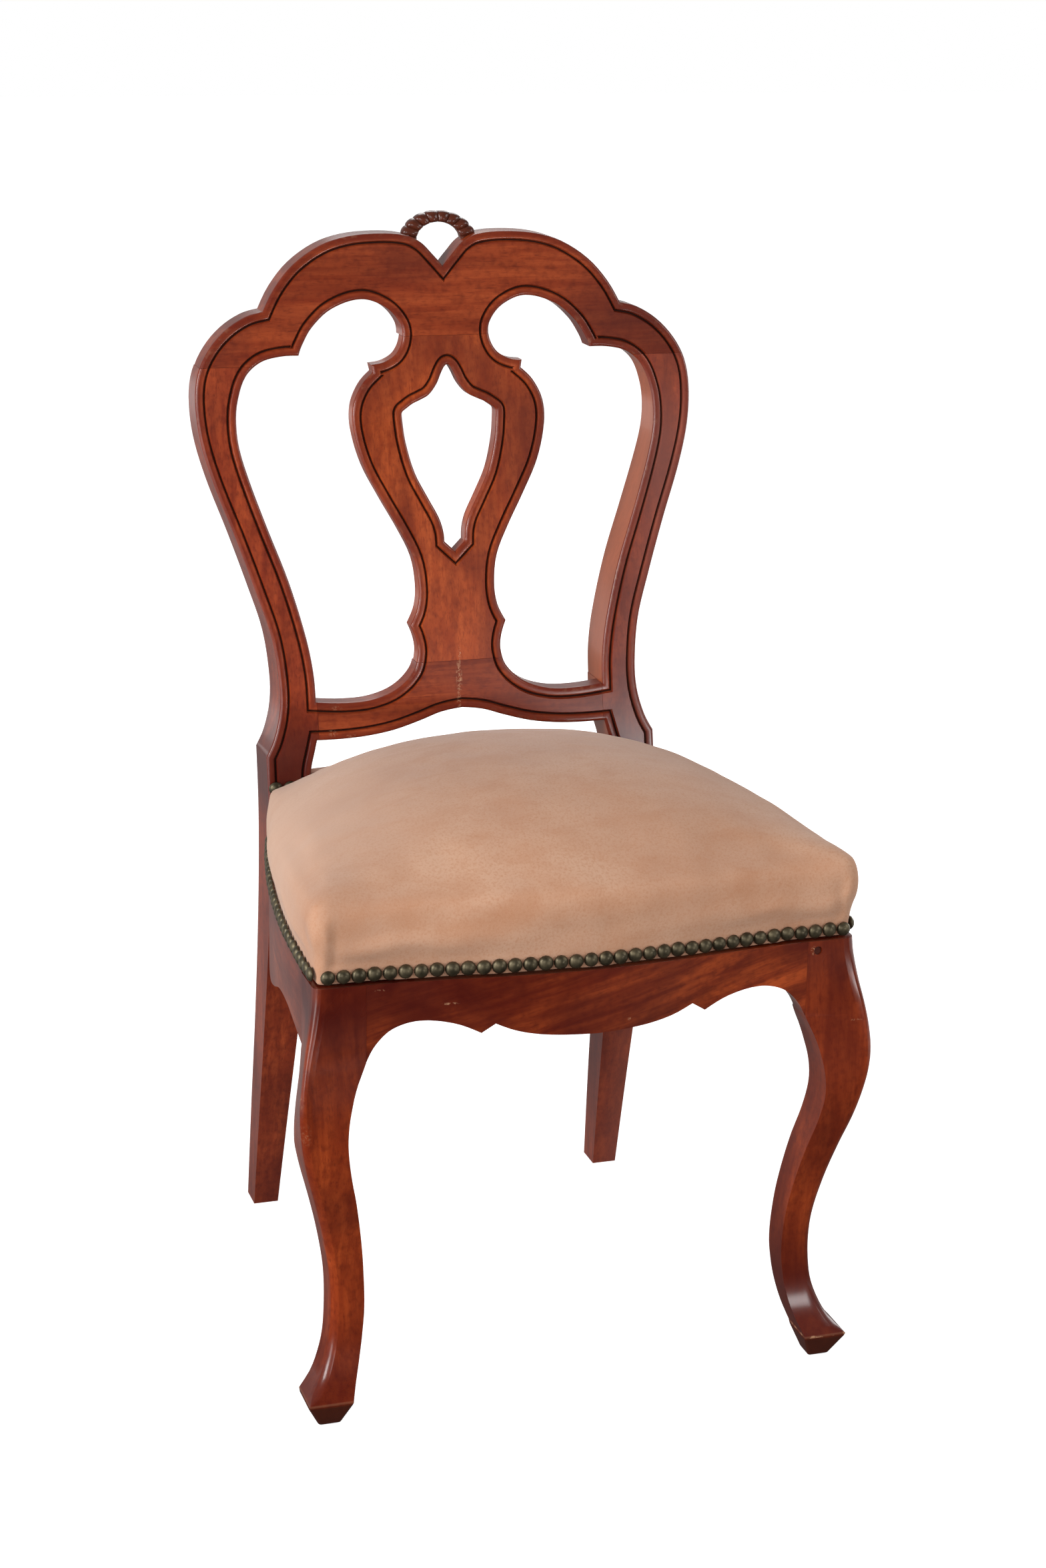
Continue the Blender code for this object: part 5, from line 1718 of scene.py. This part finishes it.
@dataclass(frozen=True)
class WoodFinish:
    """Polished red-brown stain over a fine grain, darkest around the tops of the front legs."""

    name: str
    turn: Place
    light: Place = (170, 76, 39)
    dark: Place = (134, 50, 24)
    stain: Place = (78, 20, 12)
    marks: tuple[tuple[Place, Place, float], ...] = ()
    foot: bool = False
    dull: Place = (0.12, 0.05, 0.21)
    coat: float = 0.42
    # Painted shade: near-black colour laid into the moulding's grooves.
    groove: Place = (20, 6, 4)
    bead: Place = (108, 34, 20)
    worn: Place = (206, 156, 120)
    gloom: Place = (74, 12, 4)
    pad: Place = (72, 34, 20)
    # Painted light: paler colour of the posts' inner faces, as if lit from the side.
    bare: Place = (188, 100, 52)
    # Painted reflection: hazy pinkish sheen on the right post's face.
    painted_sheen: Place = (170, 112, 100)
    post: bool = False
    front_y: Band = (-0.15, -0.19)
    tops_z: Band = (0.25, 0.37)
    feet_z: Band = (0.10, 0.04, 0.0, 0.75)
    feet_x: Band = (-0.1, 0.1, 0.0, 0.035)
    # Dark band along the top of the front parts below the nails: dirt and painted shadow.
    dirt_and_shadow_z: Band = (0.368, 0.394, 0.0, 0.42)
    seat_z: tuple[Band, Band] = ((0.525, 0.468, 0.0, 0.85), (0.40, 0.44))
    # Where the painted reflection lies on the right post: across, then down its height.
    sheen_x: Band = (0.15, 0.20, 0.0, 0.34)
    sheen_z: Band = (0.825, 0.75, 0.35, 1.0)
    pad_z: Band = (0.0230, 0.0218, 0.0, 0.7)
    rubbed_z: tuple[Band, Band] = ((0.0226, 0.0234), (0.0252, 0.0243))

    def make(self, grain: bpy.types.NodeTree) -> bpy.types.Material:
        """Build the material.

        Args:
            grain: The shared grain group.

        Returns:
            The material.
        """
        made, nodes, shader = start_material(self.name)
        where = nodes.coordinates()
        wood = nodes.add("ShaderNodeGroup", node_tree=grain)
        nodes.feed(wood, {
            "Vector": nodes.mapped(where, turn=self.turn), "Light": colour(*self.light),
            "Dark": colour(*self.dark), "Stain": colour(*self.stain),
        })
        place = nodes.parts(where)
        tint = nodes.mix(self.shade(nodes, where, place), wood.outputs["Color"], colour(*self.gloom))
        if self.post:
            tint = self.aged(nodes, place, tint)
        edge, wear = nodes.attribute("edge"), wood.outputs["Wear"]
        tint = nodes.mix(nodes.ramp(edge, 0.0, 0.35, 0.0, 0.55), tint, colour(*self.bead))
        # Pale rubbed wear along the moulded edges, which is also a painted highlight.
        tint = nodes.mix(nodes.times(nodes.times(edge, wear), 0.16), tint, colour(*self.worn))
        # Painted shade: the grooves turn near-black towards their bottoms, and lose their coat there.
        groove_shade = nodes.ramp(nodes.attribute("groove"), 0.56, 0.98)
        tint = nodes.mix(groove_shade, tint, colour(*self.groove))
        if self.foot:
            tint = self.shod(nodes, place.outputs["Z"], wear, tint)
        for centre, reach, strength in self.marks:
            spot = nodes.times(self.mark(nodes, where, centre, reach), strength)
            tint = nodes.mix(spot, tint, colour(*self.worn))
        nodes.feed(shader, {
            "Base Color": tint,
            "Roughness": nodes.most(wood.outputs["Roughness"], groove_shade),
            "Specular IOR Level": 0.22,
            "Coat Weight": nodes.ramp(groove_shade, 0.0, 0.5, self.coat, 0.0),
            "Coat Roughness": 0.17,
            "Normal": nodes.bump(wood.outputs["Height"], 0.12, 0.0006),
        })
        return made

    def shade(self, nodes: Nodes, where: Socket, place: bpy.types.Node) -> Socket:
        """Give the mask of old dark polish on the legs' tops and feet and on the rail's ends, and of the dark
        band along the rail's upper rim, which is dirt and painted shadow below the nails.

        Args:
            nodes: Node helper.
            where: Object coordinates.
            place: The same, split.

        Returns:
            The mask.
        """
        x, z = place.outputs["X"], place.outputs["Z"]
        front = nodes.ramp(place.outputs["Y"], *self.front_y)
        middle, start, full = self.dull
        ends = nodes.ramp(nodes.math("ABSOLUTE", nodes.math("SUBTRACT", x, middle)), start, full)
        tops = nodes.times(nodes.times(nodes.ramp(z, *self.tops_z), front), ends)
        above = nodes.math("SUBTRACT", z, nodes.ramp(x, *self.feet_x))
        feet = nodes.times(nodes.ramp(above, *self.feet_z), front)
        # Dirt and painted shadow along the rail's top, below the nails.
        rim = nodes.times(nodes.ramp(z, *self.dirt_and_shadow_z), front)
        patchy = nodes.ramp(nodes.noise(where, 13.0, 4.0, 0.6), 0.30, 0.62, 0.35, 0.97)
        return nodes.most(nodes.times(tops, patchy), nodes.most(feet, rim))

    def aged(self, nodes: Nodes, place: bpy.types.Node, tint: Socket) -> Socket:
        """Darken the posts above the seat, paint their inner faces paler as painted light, and paint a hazy
        sheen of reflected light on the right one.

        Args:
            nodes: Node helper.
            place: Object coordinates, split.
            tint: Colour so far.

        Returns:
            The new colour.
        """
        height = place.outputs["Z"]
        seat = nodes.times(*(nodes.ramp(height, *band) for band in self.seat_z))
        # Painted reflection: a hazy sheen on the right post, strongest low down.
        right = nodes.ramp(place.outputs["X"], *self.sheen_x)
        sheen_mask = nodes.times(right, nodes.ramp(height, *self.sheen_z))
        # Painted light: the posts' inner faces are made paler.
        bare = nodes.times(nodes.attribute("bare"), 0.5)
        for mask, tone in ((seat, self.stain), (sheen_mask, self.painted_sheen), (bare, self.bare)):
            tint = nodes.mix(mask, tint, colour(*tone))
        return tint

    def shod(self, nodes: Nodes, height: Socket, wear: Socket, tint: Socket) -> Socket:
        """Darken the pads below the feet and rub the feet's lower edges pale.

        Args:
            nodes: Node helper.
            height: Height above the floor.
            wear: Mask of worn spots.
            tint: Colour so far.

        Returns:
            The new colour.
        """
        dark = nodes.mix(nodes.ramp(height, *self.pad_z), tint, colour(*self.pad))
        edge = nodes.times(*(nodes.ramp(height, *band) for band in self.rubbed_z))
        rubbed = nodes.times(edge, nodes.ramp(wear, 0.0, 0.3, 0.12, 0.70))
        return nodes.mix(rubbed, dark, colour(*self.worn))

    def mark(self, nodes: Nodes, where: Socket, centre: Place, reach: Place) -> Socket:
        """Give the mask of one scuff: a ragged spot with a centre and half sizes.

        Args:
            nodes: Node helper.
            where: Object coordinates.
            centre: The spot's middle.
            reach: Its half sizes.

        Returns:
            The mask.
        """
        away = nodes.vector("SUBTRACT", where, centre).outputs[0]
        shares = nodes.vector("DIVIDE", away, reach).outputs[0]
        length = nodes.vector("LENGTH", shares).outputs["Value"]
        ragged = nodes.ramp(nodes.noise(where, 430.0, 5.0, 0.8), 0.50, 0.60)
        return nodes.times(nodes.ramp(length, 1.0, 0.35), ragged)


@dataclass(frozen=True)
class SuedeFinish:
    """Short brushed pile in a warm peach tan."""

    name: str = "suede"
    # Painted light: paler tone of the cover's left flank, where the key light falls.
    painted_lit: Place = (222, 188, 166)
    light: Place = (214, 172, 144)
    middle: Place = (194, 147, 119)
    deep: Place = (186, 127, 90)
    # Painted shade: darker band in the crease below the cover's upper roll.
    crease_shade_z: tuple[Band, Band] = ((0.470, 0.452), (0.424, 0.440))
    # Where the painted light lies: the left side, towards the front.
    lit_x: Band = (-0.08, -0.24, 0.0, 0.62)
    lit_y: Band = (-0.21, -0.10, 0.12, 1.0)

    def make(self) -> bpy.types.Material:
        """Build the material.

        Returns:
            The material.
        """
        made, nodes, shader = start_material(self.name)
        where = nodes.coordinates()
        clouds = nodes.noise(where, 6.0, 3.0, 0.4)
        strokes = nodes.noise(nodes.mapped(where, (1.0, 2.0, 1.0), (0.0, 0.0, 0.5)), 26.0, 5.0, 0.5)
        specks = nodes.noise(where, 520.0, 3.0)
        fibres = nodes.noise(where, 1500.0, 2.0)
        place = nodes.parts(where)
        x, y, z = (place.outputs[axis] for axis in "XYZ")
        # Painted shade: a band below the upper roll.
        roll = nodes.times(*(nodes.ramp(z, *band) for band in self.crease_shade_z))
        # Painted light: the left flank is made paler.
        left = nodes.times(nodes.ramp(x, *self.lit_x), nodes.ramp(y, *self.lit_y))
        tint = colour(*self.light)
        for mask, tone in (
            (nodes.ramp(clouds, 0.34, 0.66, 0.35, 1.0), self.middle),
            (nodes.ramp(strokes, 0.44, 0.70, 0.0, 0.36), self.deep),
            (nodes.ramp(specks, 0.46, 0.72, 0.0, 0.52), self.deep),
            # Painted shade in the crease below the roll.
            (nodes.times(roll, nodes.ramp(strokes, 0.30, 0.60, 0.06, 0.32)), self.deep),
            # Painted light on the left flank.
            (left, self.painted_lit),
            (nodes.ramp(fibres, 0.52, 0.70, 0.0, 0.30), self.light),
        ):
            tint = nodes.mix(mask, tint, colour(*tone))
        height = nodes.math("ADD", nodes.times(fibres, 0.6), nodes.times(specks, 0.4))
        nodes.feed(shader, {
            "Base Color": tint, "Roughness": 0.95, "Sheen Weight": 0.24, "Sheen Roughness": 0.5,
            "Specular IOR Level": 0.10, "Normal": nodes.bump(height, 0.22, 0.0006),
        })
        return made


@dataclass(frozen=True)
class BronzeFinish:
    """Dark antique bronze, rubbed a little brighter in patches."""

    name: str = "bronze"
    dark: Place = (74, 67, 51)
    bright: Place = (106, 96, 74)

    def make(self) -> bpy.types.Material:
        """Build the material.

        Returns:
            The material.
        """
        made, nodes, shader = start_material(self.name)
        patches = nodes.noise(nodes.coordinates(), 140.0, 3.0)
        rubbed = nodes.ramp(patches, 0.40, 0.70)
        nodes.feed(shader, {
            "Base Color": nodes.mix(rubbed, colour(*self.dark), colour(*self.bright)),
            "Roughness": nodes.ramp(patches, 0.3, 0.7, 0.36, 0.50),
            "Metallic": 0.75,
        })
        return made


@dataclass(frozen=True)
class PlainFinish:
    """Plain colour with a little variation, for what is hidden."""

    name: str
    tone: Place
    other: Place
    roughness: float
    metallic: float = 0.0
    scale: float = 60.0

    def make(self) -> bpy.types.Material:
        """Build the material.

        Returns:
            The material.
        """
        made, nodes, shader = start_material(self.name)
        patches = nodes.ramp(nodes.noise(nodes.coordinates(), self.scale, 4.0), 0.35, 0.65)
        nodes.feed(shader, {
            "Base Color": nodes.mix(patches, colour(*self.tone), colour(*self.other)),
            "Roughness": self.roughness,
            "Metallic": self.metallic,
        })
        return made


def make_finishes() -> dict[str, bpy.types.Material]:
    """Build every material, by name.

    Returns:
        The materials.
    """
    grain = grain_group()
    quarter = math.pi / 2
    crack = (
        ((-0.0005, 0.157, 0.557), (0.0018, 0.02, 0.010), 0.55),
        ((-0.0020, 0.153, 0.536), (0.0034, 0.02, 0.018), 0.75),
        ((-0.0028, 0.149, 0.516), (0.0026, 0.02, 0.010), 0.60),
    )
    joint_scuffs = (
        ((-0.120, 0.149, 0.515), (0.007, 0.02, 0.003), 0.25),
        ((-0.124, 0.145, 0.493), (0.005, 0.02, 0.005), 0.28),
        ((-0.108, 0.144, 0.489), (0.008, 0.02, 0.003), 0.25),
    )
    scratches = (
        ((-0.124, -0.238, 0.3712), (0.010, 0.01, 0.0014), 0.7),
        ((0.0284, -0.240, 0.3454), (0.002, 0.01, 0.002), 0.7),
        ((-0.180, -0.228, 0.3865), (0.007, 0.01, 0.0012), 0.3),
    )
    leg_scuffs = (
        ((-0.252, -0.245, 0.302), (0.007, 0.02, 0.009), 0.30),
        ((-0.246, -0.245, 0.272), (0.006, 0.02, 0.012), 0.22),
        ((0.234, -0.236, 0.3216), (0.007, 0.02, 0.0012), 0.35),
        ((0.1972, -0.2285, 0.3838), (0.0030, 0.02, 0.0046), 0.8),
    )
    woods = [
        WoodFinish("wood_upright", (0.0, 0.0, 0.3), (170, 73, 38), (132, 48, 26), (74, 19, 14), post=True),
        WoodFinish("wood_splat", (0.0, 0.0, 0.9), (190, 88, 42), (154, 62, 27), (92, 27, 14), crack),
        WoodFinish("wood_across", (0.0, quarter, 0.2), marks=crack + joint_scuffs),
        WoodFinish("wood_front", (0.0, quarter + 0.24, 0.1), (194, 85, 37), (118, 39, 17), (74, 19, 10),
                   scratches),
        WoodFinish("wood_leg", (0.0, 0.04, 0.5), (176, 74, 32), (138, 50, 21), (82, 21, 11), leg_scuffs,
                   foot=True, dull=(0.02, 0.04, 0.22)),
        WoodFinish("wood_along", (quarter, 0.0, 0.1)),
        WoodFinish("wood_dark", (0.0, quarter, 0.0), (104, 50, 32), (80, 36, 24), (58, 24, 16)),
    ]
    plain = [
        PlainFinish("beech", (196, 166, 130), (180, 146, 110), 0.65),
        PlainFinish("jute", (176, 152, 118), (150, 124, 90), 0.95, scale=380.0),
        PlainFinish("steel", (168, 166, 160), (140, 138, 132), 0.4, 1.0),
    ]
    made = {wood.name: wood.make(grain) for wood in woods}
    made.update({finish.name: finish.make() for finish in plain + [SuedeFinish(), BronzeFinish()]})
    return made


# Hidden pieces

@dataclass
class HiddenFrame:
    """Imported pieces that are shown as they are, with their finishes."""

    finishes: dict[str, str] = field(default_factory=lambda: {
        "rear_seat_rail": "wood_across", "joint_peg": "wood_dark", "corner_block": "beech", "webbing": "jute",
        "hessian": "jute",
    })

    def build(self, dresser: Dresser, nodes: dict[str, Piece]) -> None:
        """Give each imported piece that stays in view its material.

        Args:
            dresser: Holds the materials.
            nodes: Packed objects by name.
        """
        for name, node in nodes.items():
            if node.hide_render:
                continue
            finish = next((f for start, f in self.finishes.items() if name.startswith(start)), "beech")
            if "_screw_" in name:
                finish = "steel"
            dresser.paint(node, finish)
            LOG.info("%s: %s", name, finish)


# Studio

@dataclass
class Studio:
    """Pale floor, soft light and the camera."""

    camera_at: Place = (-0.76275452, -2.35862747, 1.24118403)
    pitch: float = 17.05499678
    yaw: float = 18.12267747
    roll: float = 1.0
    focal_pixels: float = 4416.663
    image_height: float = 2351.0
    sensor: float = 36.0
    measured_front_y: float = -0.2201
    glow: float = 0.78
    sky: float = 0.20
    gleam: float = 0.44
    gleam_y: Band = (-0.4, 0.4)
    floor_size: float = 30.0
    floor_seen: Colour = (0.80, 0.80, 0.80, 1.0)
    floor_lit: Colour = (0.27, 0.26, 0.25, 1.0)
    floor_mirrored: Colour = (0.03, 0.03, 0.03, 1.0)
    white: Colour = (1.0, 1.0, 1.0, 1.0)
    behind_y: Band = (-0.3, 0.5, 0.02, 0.28)
    aside_x: Band = (0.75, 1.1, 0.0, 1.2)
    aside_y: Band = (-1.4, -0.8)
    whiter_from: Band = (1.0, 3.0, 1.0, 1.35)
    aim: Place = (0.0, 0.0, 0.5)
    lamps: tuple[tuple[str, Place, float, float], ...] = (
        ("key", (-3.0, -0.9, 1.7), 1.2, 71.0),
        ("front", (-1.6, -3.0, 1.4), 1.6, 32.0),
        ("fill", (2.7, -1.6, 1.9), 1.4, 28.0),
        ("rim", (0.8, 2.2, 2.4), 1.6, 22.0),
        ("low", (1.0, -2.05, 0.48), 0.32, 6.5),
        ("left", (-2.6, -1.1, 0.55), 0.9, 14.0),
        ("right", (2.4, 1.0, 0.7), 0.9, 12.0),
    )

    def camera(self, shift: float) -> None:
        """Set the camera at the viewing angle.

        Args:
            shift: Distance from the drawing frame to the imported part, along y.
        """
        pitch, yaw, roll = (math.radians(v) for v in (self.pitch, self.yaw, self.roll))
        ahead = Vector((math.sin(yaw) * math.cos(pitch), math.cos(yaw) * math.cos(pitch), -math.sin(pitch)))
        right = Vector((math.cos(yaw), -math.sin(yaw), 0.0))
        up = right.cross(ahead)
        right_rolled = right * math.cos(roll) + up * math.sin(roll)
        up_rolled = up * math.cos(roll) - right * math.sin(roll)
        data = bpy.data.cameras.new("camera")
        data.sensor_width = self.sensor
        data.lens = self.focal_pixels / self.image_height * self.sensor
        eye = link("camera", data)
        at = Vector(self.camera_at) + Vector((0.0, shift + SIZES.leg_front_y - self.measured_front_y, 0.0))
        turn = Matrix((right_rolled, up_rolled, -ahead)).transposed().to_4x4()
        eye.matrix_world = Matrix.Translation(at) @ turn
        bpy.context.scene.camera = eye

    def lamp(self, name: str, at: Place, size: float, power: float) -> None:
        """Add a square soft light that faces the seat.

        Args:
            name: The light's name.
            at: Its place.
            size: Its side.
            power: Its power in watts.
        """
        data = bpy.data.lights.new(name, "AREA")
        data.size = size
        data.energy = power
        lamp = link(name, data)
        lamp.location = at
        lamp.rotation_euler = (Vector(self.aim) - Vector(at)).to_track_quat("-Z", "Y").to_euler()

    def floor(self) -> None:
        """Add the pale floor, white to the camera but for the chair's shadow."""
        deselect()
        bpy.ops.mesh.primitive_plane_add(size=self.floor_size, location=(0.0, 0.0, 0.0))
        floor = bpy.context.object
        floor.name = "studio_floor"
        made, nodes, shader = start_material("studio_floor")
        rays = nodes.add("ShaderNodeLightPath")
        seen, glossy = rays.outputs["Is Camera Ray"], rays.outputs["Is Glossy Ray"]
        where = nodes.coordinates()
        place = nodes.parts(where)
        behind = nodes.ramp(place.outputs["Y"], *self.behind_y)
        aside = nodes.ramp(nodes.math("ABSOLUTE", place.outputs["X"]), *self.aside_x)
        beside = nodes.times(aside, nodes.ramp(place.outputs["Y"], *self.aside_y))
        tint = nodes.mix(seen, self.floor_lit, self.floor_seen)
        away = nodes.vector("LENGTH", where).outputs["Value"]
        whiter = nodes.times(seen, nodes.ramp(away, *self.whiter_from))
        nodes.feed(shader, {
            "Base Color": nodes.mix(glossy, tint, self.floor_mirrored),
            "Roughness": 0.9,
            "Specular IOR Level": 0.0,
            "Emission Color": nodes.most(whiter, nodes.times(glossy, nodes.most(behind, beside))),
            "Emission Strength": self.glow,
        })
        floor.data.materials.append(made)

    def world(self) -> None:
        """Light all round with a plain grey, which the camera sees as white."""
        world = bpy.data.worlds.new("studio")
        bpy.context.scene.world = world
        world.use_nodes = True
        nodes = Nodes(world.node_tree)
        rays = nodes.add("ShaderNodeLightPath")
        seen = nodes.most(rays.outputs["Is Camera Ray"], rays.outputs["Is Transmission Ray"])
        ahead = nodes.parts(nodes.add("ShaderNodeTexCoord").outputs["Generated"])
        gleam = nodes.ramp(ahead.outputs["Y"], *self.gleam_y, self.gleam * 0.2, self.gleam)
        dim = nodes.mix(rays.outputs["Is Glossy Ray"], (self.sky, self.sky, self.sky, 1.0), gleam)
        nodes.feed(world.node_tree.nodes["Background"], {
            "Color": self.white, "Strength": nodes.most(seen, dim),
        })

    def build(self, shift: float) -> None:
        """Set up floor, light and camera.

        Args:
            shift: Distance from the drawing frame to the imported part, along y.
        """
        bpy.context.scene.view_settings.view_transform = "Standard"
        self.floor()
        self.world()
        for lamp in self.lamps:
            self.lamp(*lamp)
        self.camera(shift)


def main() -> None:
    """Build every sub-assembly in order."""
    logging.basicConfig(level=logging.INFO, format="%(message)s")
    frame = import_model()
    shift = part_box("rear_seat_rail")[0].y - SIZES.rear_rail_front_y
    dresser = Dresser(shift, make_finishes())
    back = MouldedBack()
    back.build(dresser)
    CrestLoop().build(dresser, back.crest_edge)
    CabrioleLegs().build(dresser)
    SeatRails().build(dresser, back.stile_front)
    SeatCover().build(dresser, back.under_edge)
    NailRows().build(dresser)
    HiddenFrame().build(dresser, frame["nodes"])
    Studio().build(shift)


if __name__ == "__main__":
    main()
